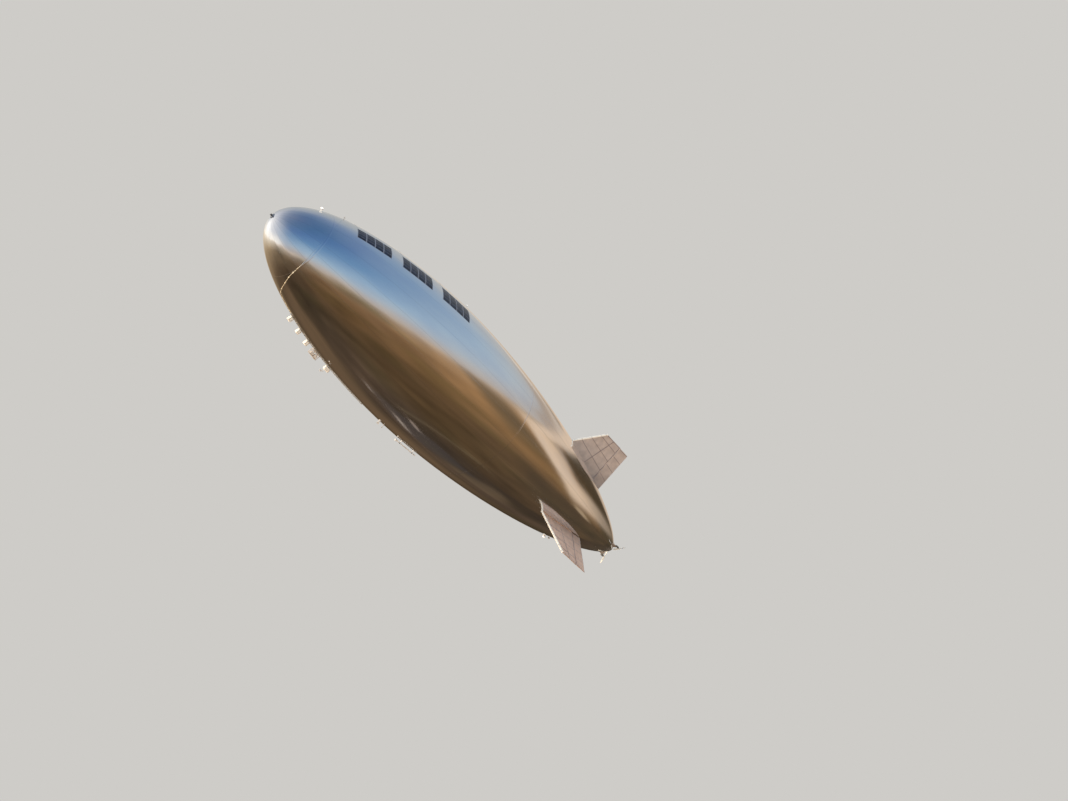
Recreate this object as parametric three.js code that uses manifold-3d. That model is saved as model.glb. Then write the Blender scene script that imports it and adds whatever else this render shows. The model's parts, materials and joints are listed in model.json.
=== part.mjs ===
// High-altitude airship with a mirror-bright envelope, three tail fins in an
// inverted Y, solar arrays along its back and three small pusher propellers
// around its tail. Built as a 1:2 scale model, in millimetres.
//
// +X points to the nose, +Y to port and +Z up. The origin is the centre of
// buoyancy, on the hull's axis. Stations are real metres aft of the nose, and
// roll angles are degrees from the top, positive to port.
import * as THREE from 'three';
import { mergeVertices } from 'three/addons/utils/BufferGeometryUtils.js';
import Module from 'manifold-3d';

const wasm = await Module();
wasm.setup();

// Scale and hull, in real metres
const SCALE = 1 / 2;
const HULL_LENGTH = 65;
const HULL_RADIUS = 8.23;
const WIDEST_STATION = 27.1;
const TAIL_CURVE = 1.81;
const TAIL_POWER = 0.69;
const BUOYANCY_STATION = 29.5;

// Envelope, in model millimetres
const SHELL = 10;
const GAP = 0.3;
const HULL_SIDES = 36;

// Stations where the envelope is joined or open, in real metres
const NOSE_OPENING = 0.15;
const FRONT_RING = 4.5;
const REAR_RING = 35.9;
const TAIL_OPENING = 64.8;
const TAPE_HALF_WIDTH = 0.08;

// Solar arrays: first and last station of each, and their half width in degrees
const SOLAR_HALF_ANGLE = 36.5;
const SOLAR_THICKNESS = 4;
const SOLAR_SPANS = 2;
const SOLAR_ARRAYS = [
  { name: 'solar_array_front', from: 7.05, to: 11.3 },
  { name: 'solar_array_middle', from: 12.8, to: 17.1 },
  { name: 'solar_array_rear', from: 18.7, to: 23.1 },
];

// Fins: outline in stations and radii, real metres
const FIN_ANGLES = { top: 0, port: 120, starboard: -120 };
const FIN_ROOT_LEADING = 47.9;
const FIN_TIP_LEADING = 51.7;
const FIN_TRAILING = 56.5;
const FIN_TIP_RADIUS = 10.25;
const FIN_THICKNESS = 0.13;
const FIN_EDGE_TUBE = 0.13;
const HINGE_STATION = 54.75;
const RUDDER_NOSE = 0.09;
const RUDDER_TRAILING = 0.03;
const RUDDER_ROOT_GAP = 0.12;
const HINGE_ROD = 0.022;

// Tail propellers
const MOTOR_ANGLES = { port: 60, lower: 180, starboard: -60 };
const MOTOR_AXIS_RADIUS = 1.4;
const MOTOR_FRONT = 64.22;
const MOTOR_BACK = 64.66;
const MOTOR_RADIUS = 0.13;
const PROPELLER_STATION = 64.9;
const PROPELLER_DIAMETER = 2.0;
const BLADE_ANGLES = { port: 36, lower: -73, starboard: 10 };

const mm = (metres) => metres * 1000 * SCALE;
const xOf = (station) => mm(BUOYANCY_STATION - station);
const radians = THREE.MathUtils.degToRad;

// Half ellipse forward of the widest station, a fuller curve aft of it
function hullRadius(station) {
  if (station < WIDEST_STATION) {
    const t = (WIDEST_STATION - station) / WIDEST_STATION;
    return HULL_RADIUS * Math.sqrt(Math.max(0, 1 - t * t));
  }
  const t = (station - WIDEST_STATION) / (HULL_LENGTH - WIDEST_STATION);
  return HULL_RADIUS * Math.max(0, 1 - t ** TAIL_CURVE) ** TAIL_POWER;
}

function hullSlope(station) {
  const step = 0.01;
  return (hullRadius(station + step) - hullRadius(station - step)) / (2 * step);
}

// A point of the hull's profile, moved outwards by an offset in millimetres
function profilePoint(station, offset) {
  const slope = hullSlope(station);
  const norm = Math.hypot(1, slope);
  return {
    x: xOf(station) + (offset * slope) / norm,
    r: mm(hullRadius(station)) + offset / norm,
  };
}

function hullPoint(station, degrees, offset) {
  const p = profilePoint(station, offset);
  const angle = radians(degrees);
  return new THREE.Vector3(p.x, p.r * Math.sin(angle), p.r * Math.cos(angle));
}

const steps = (from, to, count) => Array.from({ length: count + 1 }, (_, i) => from + ((to - from) * i) / count);

// Stations closer together where the profile turns in quickly
const noseSteps = (from, to, count) => Array.from({ length: count + 1 }, (_, i) => from + (to - from) * (i / count) ** 2);
const tailSteps = (from, to, count) => Array.from({ length: count + 1 }, (_, i) => to - (to - from) * (1 - i / count) ** 2);

const NOSE_STATIONS = [...noseSteps(NOSE_OPENING, FRONT_RING - TAPE_HALF_WIDTH, 5), FRONT_RING];
const MIDDLE_STATIONS = [
  FRONT_RING,
  FRONT_RING + TAPE_HALF_WIDTH,
  ...SOLAR_ARRAYS.flatMap(({ from, to }) => steps(from, to, SOLAR_SPANS)),
  ...steps(26.5, 31, 1),
  REAR_RING - TAPE_HALF_WIDTH,
  REAR_RING,
];
const TAIL_STATIONS = [
  REAR_RING,
  REAR_RING + TAPE_HALF_WIDTH,
  ...steps(40, 60, 5),
  ...tailSteps(60, TAIL_OPENING, 4).slice(1),
];
const HULL_STATIONS = [...NOSE_STATIONS, ...MIDDLE_STATIONS.slice(1), ...TAIL_STATIONS.slice(1)];
const SIDE_ANGLE = 360 / HULL_SIDES;

function geometryFrom(points, triangles) {
  const geometry = new THREE.BufferGeometry();
  geometry.setAttribute('position', new THREE.Float32BufferAttribute(points.flatMap((p) => [p.x, p.y, p.z]), 3));
  geometry.setIndex(triangles.flat());
  return geometry;
}

function signedVolume(points, triangles) {
  let volume = 0;
  for (const [a, b, c] of triangles) {
    volume += points[a].dot(new THREE.Vector3().crossVectors(points[b], points[c]));
  }
  return volume / 6;
}

function closedGeometry(points, triangles) {
  const outward = signedVolume(points, triangles) > 0;
  return geometryFrom(points, outward ? triangles : triangles.map(([a, b, c]) => [a, c, b]));
}

// A sheet between an outer and an inner grid of points, closed round its edges.
// Grids are rows of points; wrapped rows close on themselves.
function sheetGeometry(outer, inner, wrapped) {
  const rows = outer.length;
  const columns = outer[0].length;
  const points = [...outer.flat(), ...inner.flat()];
  const at = (layer, i, j) => layer * rows * columns + i * columns + (j % columns);
  const triangles = [];
  const quad = (a, b, c, d) => triangles.push([a, b, c], [a, c, d]);
  const spans = wrapped ? columns : columns - 1;
  for (let i = 0; i < rows - 1; i += 1) {
    for (let j = 0; j < spans; j += 1) {
      quad(at(0, i, j), at(0, i, j + 1), at(0, i + 1, j + 1), at(0, i + 1, j));
      quad(at(1, i, j), at(1, i + 1, j), at(1, i + 1, j + 1), at(1, i, j + 1));
    }
    if (!wrapped) {
      quad(at(0, i, 0), at(0, i + 1, 0), at(1, i + 1, 0), at(1, i, 0));
      quad(at(0, i, spans), at(1, i, spans), at(1, i + 1, spans), at(0, i + 1, spans));
    }
  }
  for (let j = 0; j < spans; j += 1) {
    quad(at(0, 0, j), at(1, 0, j), at(1, 0, j + 1), at(0, 0, j + 1));
    quad(at(0, rows - 1, j), at(0, rows - 1, j + 1), at(1, rows - 1, j + 1), at(1, rows - 1, j));
  }
  return closedGeometry(points, triangles);
}

// A point on the hull's facets, between two of its corner lines
function facetPoint(station, angle, offset) {
  const low = Math.floor(angle / SIDE_ANGLE + 1e-9) * SIDE_ANGLE;
  const next = hullPoint(station, low + SIDE_ANGLE, offset);
  return hullPoint(station, low, offset).lerp(next, (angle - low) / SIDE_ANGLE);
}

function facetAngles(fromAngle, toAngle) {
  const angles = [fromAngle];
  for (let i = Math.floor(fromAngle / SIDE_ANGLE + 1e-9) + 1; i * SIDE_ANGLE < toAngle - 1e-6; i += 1) {
    angles.push(i * SIDE_ANGLE);
  }
  return toAngle - fromAngle === 360 ? angles : [...angles, toAngle];
}

// Part of a sheet on the hull between two roll angles, or all the way round.
// Its open edges stand back by half the gap.
function hullSheet(stations, fromAngle, toAngle, lowOffset, highOffset) {
  const wrapped = toAngle - fromAngle === 360;
  const angles = facetAngles(fromAngle, toAngle);
  const last = angles.length - 1;
  const grid = (offset) => stations.map((station, i) => {
    const inset = i === 0 ? 0.5 : i === stations.length - 1 ? -0.5 : 0;
    return angles.map((angle, j) => {
      const point = facetPoint(station, angle, offset);
      point.x -= inset * GAP;
      if (!wrapped && (j === 0 || j === last)) {
        const radius = Math.hypot(point.y, point.z);
        const turn = ((j === 0 ? 0.5 : -0.5) * GAP) / radius;
        point.applyAxisAngle(new THREE.Vector3(1, 0, 0), -turn);
      }
      return point;
    });
  });
  return sheetGeometry(grid(highOffset), grid(lowOffset), wrapped);
}

// The whole hull as one solid, a little larger, to cut the seats of what stands on it
function hullSolid(offset) {
  const points = [];
  const triangles = [];
  for (const station of HULL_STATIONS) {
    for (let j = 0; j < HULL_SIDES; j += 1) {
      points.push(hullPoint(station, j * SIDE_ANGLE, offset));
    }
  }
  const rows = HULL_STATIONS.length;
  for (let i = 0; i < rows - 1; i += 1) {
    for (let j = 0; j < HULL_SIDES; j += 1) {
      const next = (j + 1) % HULL_SIDES;
      const [a, b] = [i * HULL_SIDES + j, i * HULL_SIDES + next];
      const [c, d] = [b + HULL_SIDES, a + HULL_SIDES];
      triangles.push([a, b, c], [a, c, d]);
    }
  }
  for (const [row, flip] of [[0, false], [rows - 1, true]]) {
    const centre = points.length;
    points.push(new THREE.Vector3(points[row * HULL_SIDES].x, 0, 0));
    for (let j = 0; j < HULL_SIDES; j += 1) {
      const a = row * HULL_SIDES + j;
      const b = row * HULL_SIDES + ((j + 1) % HULL_SIDES);
      triangles.push(flip ? [centre, a, b] : [centre, b, a]);
    }
  }
  return closedGeometry(points, triangles);
}

// Joining and cutting
function solidOf(geometry) {
  const bare = new THREE.BufferGeometry();
  bare.setAttribute('position', geometry.attributes.position.clone());
  if (geometry.index) bare.setIndex(geometry.index.clone());
  const merged = mergeVertices(bare, 1e-3);
  return new wasm.Manifold(new wasm.Mesh({
    numProp: 3,
    vertProperties: new Float32Array(merged.attributes.position.array),
    triVerts: new Uint32Array(merged.index.array),
  }));
}

function geometryOf(solid) {
  const mesh = solid.getMesh();
  const geometry = new THREE.BufferGeometry();
  geometry.setAttribute('position', new THREE.Float32BufferAttribute(Array.from(mesh.vertProperties), 3));
  geometry.setIndex(Array.from(mesh.triVerts));
  return geometry;
}

const joined = (...geometries) => geometryOf(geometries.map(solidOf).reduce((all, one) => all.add(one)));
const cut = (geometry, ...tools) => geometryOf(tools.map(solidOf).reduce((rest, one) => rest.subtract(one), solidOf(geometry)));
const HULL_CUTTER = solidOf(hullSolid(GAP));
const seated = (geometry) => geometryOf(solidOf(geometry).subtract(HULL_CUTTER));

// Basic shapes
const box = (x, y, z) => new THREE.BoxGeometry(x, y, z);
const ball = (radius) => new THREE.SphereGeometry(radius, 10, 6);

// A rod or tube of one radius between two points
function rod(from, to, radius, sides = 10) {
  const length = from.distanceTo(to);
  const geometry = new THREE.CylinderGeometry(radius, radius, length, sides);
  const turn = new THREE.Quaternion().setFromUnitVectors(
    new THREE.Vector3(0, 1, 0),
    to.clone().sub(from).normalize(),
  );
  geometry.applyQuaternion(turn);
  const middle = from.clone().add(to).multiplyScalar(0.5);
  return geometry.translate(middle.x, middle.y, middle.z);
}

// A flat plate with its outline in the plane of X and Z, centred on Y = 0
function plate(outline, thickness) {
  const shape = new THREE.Shape(outline.map(([x, z]) => new THREE.Vector2(x, z)));
  const geometry = new THREE.ExtrudeGeometry(shape, { depth: thickness, bevelEnabled: false });
  return geometry.translate(0, 0, -thickness / 2).rotateX(Math.PI / 2);
}

const root = new THREE.Group();

const finishes = {
  film: { color: 0xc9ced4, roughness: 0.12, metalness: 1 },
  tape: { color: 0xd9d6cc, roughness: 0.4, metalness: 0.3 },
  solar: { color: 0x111a33, roughness: 0.3, metalness: 0.1 },
  cloth: { color: 0xcfc3bd, roughness: 0.8, metalness: 0 },
  white: { color: 0xece9e3, roughness: 0.45, metalness: 0 },
  composite: { color: 0xb9b6ae, roughness: 0.4, metalness: 0.1 },
  dark: { color: 0x202224, roughness: 0.5, metalness: 0.2 },
  metal: { color: 0x8e9296, roughness: 0.35, metalness: 0.9 },
};

function add(name, geometry, finish, parent = root) {
  geometry.computeVertexNormals();
  const mesh = new THREE.Mesh(geometry, new THREE.MeshStandardMaterial(finishes[finish]));
  mesh.name = name;
  parent.add(mesh);
  return mesh;
}

// A group turned about the hull's axis to a roll angle
function rolledGroup(degrees) {
  const group = new THREE.Group();
  group.rotation.x = -radians(degrees);
  root.add(group);
  return group;
}

// A group on the hull's top or belly line, its local X along the hull towards
// the nose. Heights in it are measured along the hull's normal.
function lineGroup(station, onTop) {
  const group = new THREE.Group();
  const side = onTop ? 1 : -1;
  group.position.set(xOf(station), 0, side * mm(hullRadius(station)));
  group.rotation.y = side * Math.atan(hullSlope(station));
  root.add(group);
  return group;
}

// Envelope: a nose dome, and four long gores each in the middle and the tail
const GORES = [
  { name: 'top', from: -40, to: 40 },
  { name: 'port', from: 40, to: 140 },
  { name: 'belly', from: 140, to: 220 },
  { name: 'starboard', from: 220, to: 320 },
];

function addEnvelope() {
  add('envelope_nose', hullSheet(NOSE_STATIONS, 0, 360, -SHELL, 0), 'film');
  for (const { name, from, to } of GORES) {
    add(`envelope_middle_${name}`, hullSheet(MIDDLE_STATIONS, from, to, -SHELL, 0), 'film');
    add(`envelope_tail_${name}`, hullSheet(TAIL_STATIONS, from, to, -SHELL, 0), 'film');
  }
}

// Closures at the envelope's two openings, following the hull's curve
const NOSE_SPINDLE_RADIUS = 0.11;
const NOSE_SPINDLE_REACH = 0.28;
const NOSE_FLANGE_RADIUS = 0.3;

function lathe(profile) {
  const points = profile.map(([x, r]) => new THREE.Vector2(Math.max(r, 0), x));
  return new THREE.LatheGeometry(points, 18).rotateZ(-Math.PI / 2);
}

function addEnds() {
  const nose = [[xOf(NOSE_OPENING) + GAP, 0], [xOf(NOSE_OPENING) + GAP, mm(hullRadius(NOSE_OPENING))]];
  for (const station of [0.1, 0.05, 0.02]) {
    nose.push([xOf(station), mm(hullRadius(station))]);
  }
  nose.push([xOf(0.02) + 1, mm(NOSE_FLANGE_RADIUS)]);
  nose.push([xOf(0.02) + 1, 0]);
  add('nose_cap', lathe(nose), 'film');

  const foot = xOf(0.02) + 1 + GAP;
  const spindle = [
    [foot, 0],
    [foot, mm(NOSE_FLANGE_RADIUS)],
    [foot + 20, mm(NOSE_FLANGE_RADIUS)],
    [foot + 50, mm(NOSE_SPINDLE_RADIUS)],
    [foot + mm(NOSE_SPINDLE_REACH), mm(NOSE_SPINDLE_RADIUS)],
    [foot + mm(NOSE_SPINDLE_REACH), 0],
  ];
  add('nose_mooring_spindle', lathe(spindle), 'dark');

  const tail = [[xOf(TAIL_OPENING) - GAP, 0], [xOf(TAIL_OPENING) - GAP, mm(hullRadius(TAIL_OPENING))]];
  for (const station of [64.9, 64.96]) {
    tail.push([xOf(station), mm(hullRadius(station))]);
  }
  tail.push([xOf(HULL_LENGTH), mm(0.04)]);
  tail.push([xOf(HULL_LENGTH), 0]);
  add('tail_cap', lathe(tail.reverse()), 'film');
}

// Load tapes over the two ring joints
const TAPE_THICKNESS = 3;

function addTapes() {
  const tape = (centre) => hullSheet(
    [centre - TAPE_HALF_WIDTH, centre, centre + TAPE_HALF_WIDTH],
    0,
    360,
    2 * GAP,
    TAPE_THICKNESS,
  );
  add('front_ring_tape', tape(FRONT_RING), 'tape');
  add('rear_ring_tape', tape(REAR_RING), 'tape');
}

function addSolarArrays() {
  for (const { name, from, to } of SOLAR_ARRAYS) {
    const sheet = hullSheet(steps(from, to, SOLAR_SPANS), -SOLAR_HALF_ANGLE, SOLAR_HALF_ANGLE, GAP, GAP + SOLAR_THICKNESS);
    add(name, sheet, 'solar');
  }
}

// Fins: a fabric-covered slab with a tube along its leading edge, and a hinge
// rod on lugs at its trailing edge that carries the rudder
function finLine(radius) {
  const rootRadius = hullRadius(FIN_ROOT_LEADING);
  const t = (radius - rootRadius) / (FIN_TIP_RADIUS - rootRadius);
  return FIN_ROOT_LEADING + t * (FIN_TIP_LEADING - FIN_ROOT_LEADING);
}

const LUG_THICKNESS = 14;
const RUDDER_ROOT = hullRadius(HINGE_STATION) + RUDDER_ROOT_GAP;
const RUDDER_END_CLEARANCE = 6;
const RUDDER_FLAT_ROOT = 60;

function finGeometry() {
  const buried = 0.5;
  const rear = HINGE_STATION - RUDDER_NOSE - 0.02;
  const rootFront = hullRadius(FIN_ROOT_LEADING) - buried;
  const rootRear = hullRadius(rear) - buried;
  const slab = plate([
    [xOf(finLine(rootFront)), mm(rootFront)],
    [xOf(FIN_TIP_LEADING), mm(FIN_TIP_RADIUS)],
    [xOf(rear), mm(FIN_TIP_RADIUS)],
    [xOf(rear), mm(rootRear)],
  ], mm(FIN_THICKNESS));
  const tube = edgeTube(mm(FIN_EDGE_TUBE) + GAP, 2);
  const slabCut = seated(cut(slab, tube));
  const hingeX = xOf(HINGE_STATION);
  const lugLength = xOf(rear) - hingeX + 40;
  const lowLug = mm(RUDDER_ROOT) - LUG_THICKNESS / 2 - RUDDER_END_CLEARANCE;
  const highLug = mm(FIN_TIP_RADIUS) - LUG_THICKNESS / 2;
  const lug = (height) => box(lugLength, 40, LUG_THICKNESS).translate(hingeX + lugLength / 2 - 15, 0, height);
  const rodEnds = [lowLug, highLug].map((height) => new THREE.Vector3(hingeX, 0, height));
  return joined(slabCut, lug(lowLug), lug(highLug), rod(rodEnds[0], rodEnds[1], mm(HINGE_ROD)));
}

function edgeTube(radius, beyond = 0) {
  const foot = hullRadius(FIN_ROOT_LEADING) - 0.6;
  const from = new THREE.Vector3(xOf(finLine(foot)), 0, mm(foot));
  const to = new THREE.Vector3(xOf(FIN_TIP_LEADING), 0, mm(FIN_TIP_RADIUS));
  const reach = to.clone().sub(from).setLength(beyond);
  return rod(from, to.add(reach), radius, 12);
}

function rudderGeometry() {
  const tip = mm(FIN_TIP_RADIUS) - LUG_THICKNESS - RUDDER_END_CLEARANCE;
  const rootFront = mm(RUDDER_ROOT);
  const rootRear = mm(hullRadius(FIN_TRAILING) + RUDDER_ROOT_GAP);
  const nose = rod(
    new THREE.Vector3(xOf(HINGE_STATION), 0, rootFront),
    new THREE.Vector3(xOf(HINGE_STATION), 0, tip),
    mm(RUDDER_NOSE) / 1.5,
    16,
  );
  // A wedge seen from its tip, thinning to the trailing edge
  const half = mm(RUDDER_NOSE) / 1.6;
  const thin = mm(RUDDER_TRAILING) / 2;
  const section = new THREE.Shape([
    new THREE.Vector2(xOf(HINGE_STATION), -half),
    new THREE.Vector2(xOf(HINGE_STATION), half),
    new THREE.Vector2(xOf(FIN_TRAILING), thin),
    new THREE.Vector2(xOf(FIN_TRAILING), -thin),
  ]);
  const wedge = new THREE.ExtrudeGeometry(section, { depth: tip - rootRear, bevelEnabled: false });
  wedge.translate(0, 0, rootRear);
  const rootCut = plate([
    [xOf(HINGE_STATION) + 100, rootRear - 10],
    [xOf(HINGE_STATION) + 100, rootFront],
    [xOf(HINGE_STATION) - RUDDER_FLAT_ROOT, rootFront],
    [xOf(FIN_TRAILING) - 1, rootRear],
    [xOf(FIN_TRAILING) - 1, rootRear - 10],
  ], 400);
  const bore = rod(
    new THREE.Vector3(xOf(HINGE_STATION), 0, rootRear - 50),
    new THREE.Vector3(xOf(HINGE_STATION), 0, tip + 50),
    mm(HINGE_ROD) + 2,
    12,
  );
  return cut(joined(nose, geometryOf(solidOf(wedge).subtract(solidOf(rootCut)))), bore);
}

function addFins() {
  for (const [side, angle] of Object.entries(FIN_ANGLES)) {
    const group = rolledGroup(angle);
    add(`${side}_fin`, finGeometry(), 'cloth', group);
    add(`${side}_fin_edge_tube`, seated(edgeTube(mm(FIN_EDGE_TUBE))), 'white', group);
    add(`${side}_rudder`, rudderGeometry(), 'cloth', group);
  }
}

// Tail propulsion: pylon, motor and a two-blade pusher propeller
const SHAFT_RADIUS = 0.024;
const HUB_RADIUS = 0.07;

function motorGeometry() {
  const axis = mm(MOTOR_AXIS_RADIUS);
  const along = (from, to, radius, sides) => rod(
    new THREE.Vector3(xOf(from), 0, axis),
    new THREE.Vector3(xOf(to), 0, axis),
    radius,
    sides,
  );
  const body = along(MOTOR_FRONT, MOTOR_BACK, mm(MOTOR_RADIUS), 16);
  const nose = new THREE.SphereGeometry(mm(MOTOR_RADIUS) * 0.96, 12, 6).translate(xOf(MOTOR_FRONT), 0, axis);
  const bore = along(MOTOR_BACK - 0.12, MOTOR_BACK + 0.05, mm(SHAFT_RADIUS) + 2, 12);
  return cut(joined(body, nose), bore);
}

function pylonGeometry() {
  const axis = MOTOR_AXIS_RADIUS;
  const blade = plate([
    [xOf(63.45), mm(1.1)],
    [xOf(63.5), mm(hullRadius(63.5)) + 4],
    [xOf(64.3), mm(axis)],
    [xOf(64.58), mm(axis)],
    [xOf(64.42), mm(0.55)],
  ], 44);
  const foot = plate([
    [xOf(63.4), mm(1.0)],
    [xOf(63.4), mm(hullRadius(63.4)) + 8],
    [xOf(63.9), mm(hullRadius(63.9)) + 14],
    [xOf(64.4), mm(hullRadius(64.4)) + 8],
    [xOf(64.4), mm(0.4)],
  ], 150);
  const motorRoom = rod(
    new THREE.Vector3(xOf(MOTOR_FRONT) + mm(MOTOR_RADIUS) + 2, 0, mm(axis)),
    new THREE.Vector3(xOf(MOTOR_BACK) - 60, 0, mm(axis)),
    mm(MOTOR_RADIUS) + GAP,
    16,
  );
  return cut(seated(joined(blade, foot)), motorRoom);
}

// One blade along +Z, lofted through lens-shaped sections that twist and taper
function bladeGeometry() {
  const sections = [
    { radius: 0.02, chord: 0.1, thickness: 0.05, twist: 50 },
    { radius: 0.25, chord: 0.23, thickness: 0.032, twist: 34 },
    { radius: 0.55, chord: 0.25, thickness: 0.024, twist: 21 },
    { radius: 0.85, chord: 0.2, thickness: 0.016, twist: 15 },
    { radius: 1.0, chord: 0.1, thickness: 0.01, twist: 12 },
  ];
  const count = 8;
  const points = [];
  const triangles = [];
  for (const { radius, chord, thickness, twist } of sections) {
    for (let j = 0; j < count; j += 1) {
      const turn = (j / count) * 2 * Math.PI;
      const across = (mm(chord) / 2) * Math.cos(turn);
      const through = (mm(thickness) / 2) * Math.sin(turn);
      const angle = radians(twist);
      points.push(new THREE.Vector3(
        across * Math.sin(angle) + through * Math.cos(angle),
        across * Math.cos(angle) - through * Math.sin(angle),
        mm((radius * PROPELLER_DIAMETER) / 2),
      ));
    }
  }
  for (let i = 0; i < sections.length - 1; i += 1) {
    for (let j = 0; j < count; j += 1) {
      const [a, b] = [i * count + j, i * count + ((j + 1) % count)];
      triangles.push([a, b, b + count], [a, b + count, a + count]);
    }
  }
  for (let j = 1; j < count - 1; j += 1) {
    const last = (sections.length - 1) * count;
    triangles.push([0, j + 1, j], [last, last + j, last + j + 1]);
  }
  return closedGeometry(points, triangles);
}

function propellerGeometry(degrees) {
  const hub = new THREE.CylinderGeometry(mm(HUB_RADIUS), mm(HUB_RADIUS), 70, 12).rotateZ(Math.PI / 2);
  const spinner = new THREE.SphereGeometry(mm(HUB_RADIUS), 12, 6).scale(1.3, 0.96, 0.96).translate(-34, 0, 0);
  const shaftFront = xOf(MOTOR_BACK - 0.1) - xOf(PROPELLER_STATION);
  const shaft = rod(new THREE.Vector3(0, 0, 0), new THREE.Vector3(shaftFront, 0, 0), mm(SHAFT_RADIUS));
  const blade = bladeGeometry();
  const other = bladeGeometry().rotateX(Math.PI);
  return joined(hub, spinner, shaft, blade, other).rotateX(-radians(degrees));
}

function addTailPropulsion() {
  for (const [side, angle] of Object.entries(MOTOR_ANGLES)) {
    const group = rolledGroup(angle);
    add(`${side}_pylon`, pylonGeometry(), 'composite', group);
    add(`${side}_motor`, motorGeometry(), 'dark', group);
    // The blade angle is read from port towards the top, square to the hull
    const propeller = add(`${side}_propeller`, propellerGeometry(90 - BLADE_ANGLES[side] - angle), 'composite', group);
    propeller.position.set(xOf(PROPELLER_STATION), 0, mm(MOTOR_AXIS_RADIUS));
  }
}

// Equipment under the belly: a rail on short posts carries the boxes, the
// payload frame and the sensor pod
const RAIL_DEPTH = 0.07;
const RAIL_RADIUS = 0.035;
const RAIL_FROM = 8.75;
const RAIL_TO = 22.6;
const POST_STATIONS = [8.9, 10.15, 11.75, 13.15, 15.2, 17.6, 20.0, 22.4];
const BATTERY_STATIONS = { front: 9.31, middle: 10.96, rear: 12.53 };
const BATTERY_SIZE = [0.44, 0.56, 0.52];

function bellyPoint(station, depth) {
  const p = profilePoint(station, mm(depth));
  return new THREE.Vector3(p.x, 0, -p.r);
}

function railGeometry() {
  const path = new THREE.CatmullRomCurve3(steps(RAIL_FROM, RAIL_TO, 8).map((station) => bellyPoint(station, RAIL_DEPTH)));
  const section = new THREE.Shape();
  section.absarc(0, 0, mm(RAIL_RADIUS), 0, 2 * Math.PI);
  const rail = new THREE.ExtrudeGeometry(section, { extrudePath: path, steps: 12, curveSegments: 6, bevelEnabled: false });
  const posts = POST_STATIONS.flatMap((station) => [
    rod(bellyPoint(station, -0.06), bellyPoint(station, RAIL_DEPTH), mm(0.03), 6),
    box(140, 110, 60).rotateY(-Math.atan(hullSlope(station))).translate(...bellyPoint(station, -0.045).toArray()),
  ]);
  return geometryOf([rail, ...posts].map(solidOf).reduce((all, one) => all.add(one)).subtract(HULL_CUTTER));
}

const UNDER_RAIL = mm(RAIL_DEPTH + RAIL_RADIUS) + 2;

function addBatteryBoxes() {
  const [long, wide, high] = BATTERY_SIZE.map(mm);
  for (const [name, station] of Object.entries(BATTERY_STATIONS)) {
    const body = box(long, wide, high).translate(0, 0, -UNDER_RAIL - high / 2 - 10);
    const saddle = box(long * 0.5, 90, 12).translate(0, 0, -UNDER_RAIL - 5);
    add(`${name}_battery_box`, joined(body, saddle), 'white', lineGroup(station, false));
  }
}

// Open frame of square bars with a mounting plate across its bottom
const FRAME_STATION = 14.1;
const FRAME_SIZE = [1.1, 0.7, 0.62];
const FRAME_BAR = 26;

function frameGeometry() {
  const [long, wide, high] = FRAME_SIZE.map(mm);
  const top = -UNDER_RAIL - 12;
  const bars = [];
  for (const side of [-1, 1]) {
    const y = (side * (wide - FRAME_BAR)) / 2;
    for (const z of [top - FRAME_BAR / 2, top - high + FRAME_BAR / 2]) {
      bars.push(box(long, FRAME_BAR, FRAME_BAR).translate(0, y, z));
    }
    for (const end of [-1, 0, 1]) {
      bars.push(box(FRAME_BAR, FRAME_BAR, high).translate((end * (long - FRAME_BAR)) / 2, y, top - high / 2));
    }
  }
  for (const end of [-1, 0, 1]) {
    bars.push(box(FRAME_BAR, wide, FRAME_BAR).translate((end * (long - FRAME_BAR)) / 2, 0, top - FRAME_BAR / 2));
  }
  bars.push(box(long, wide, 12).translate(0, 0, top - high + 6));
  bars.push(box(long * 0.3, 90, 14).translate(0, 0, top + 5));
  return geometryOf(bars.map(solidOf).reduce((all, one) => all.add(one)));
}

// Rounded pod with an arm that carries a ball-shaped sensor
const POD_STATION = 16.4;
const POD_SIZE = [0.72, 0.5, 0.46];

function addPayload() {
  add('belly_rail', railGeometry(), 'composite');
  addBatteryBoxes();
  add('payload_frame', frameGeometry(), 'composite', lineGroup(FRAME_STATION, false));

  const [long, wide, high] = POD_SIZE.map(mm);
  const pod = lineGroup(POD_STATION, false);
  const middle = -UNDER_RAIL - 10 - high / 2;
  const body = joined(
    box(long - 80, wide, high).translate(0, 0, middle),
    box(long, wide - 80, high - 60).translate(0, 0, middle),
    box(120, 90, 14).translate(0, 0, -UNDER_RAIL - 6),
  );
  add('payload_pod', body, 'white', pod);
  const elbow = new THREE.Vector3(40, 0, middle - high / 2 - 120);
  const tip = new THREE.Vector3(185, 0, middle - high / 2 - 195);
  const arm = joined(
    box(70, 70, 12).translate(40, 0, middle - high / 2 - 6 - GAP),
    rod(new THREE.Vector3(40, 0, middle - high / 2 - 8), elbow, 18, 10),
    ball(20).translate(elbow.x, 0, elbow.z),
    rod(elbow, tip, 18, 10),
    ball(62).translate(tip.x, 0, tip.z),
  );
  add('sensor_arm', arm, 'white', pod);
}

// Slim boom held off the hull on two struts, with a bulb at its front end
const BOOM_FROM = 28.95;
const BOOM_TO = 32.35;
const BOOM_DEPTH = 0.36;

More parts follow.
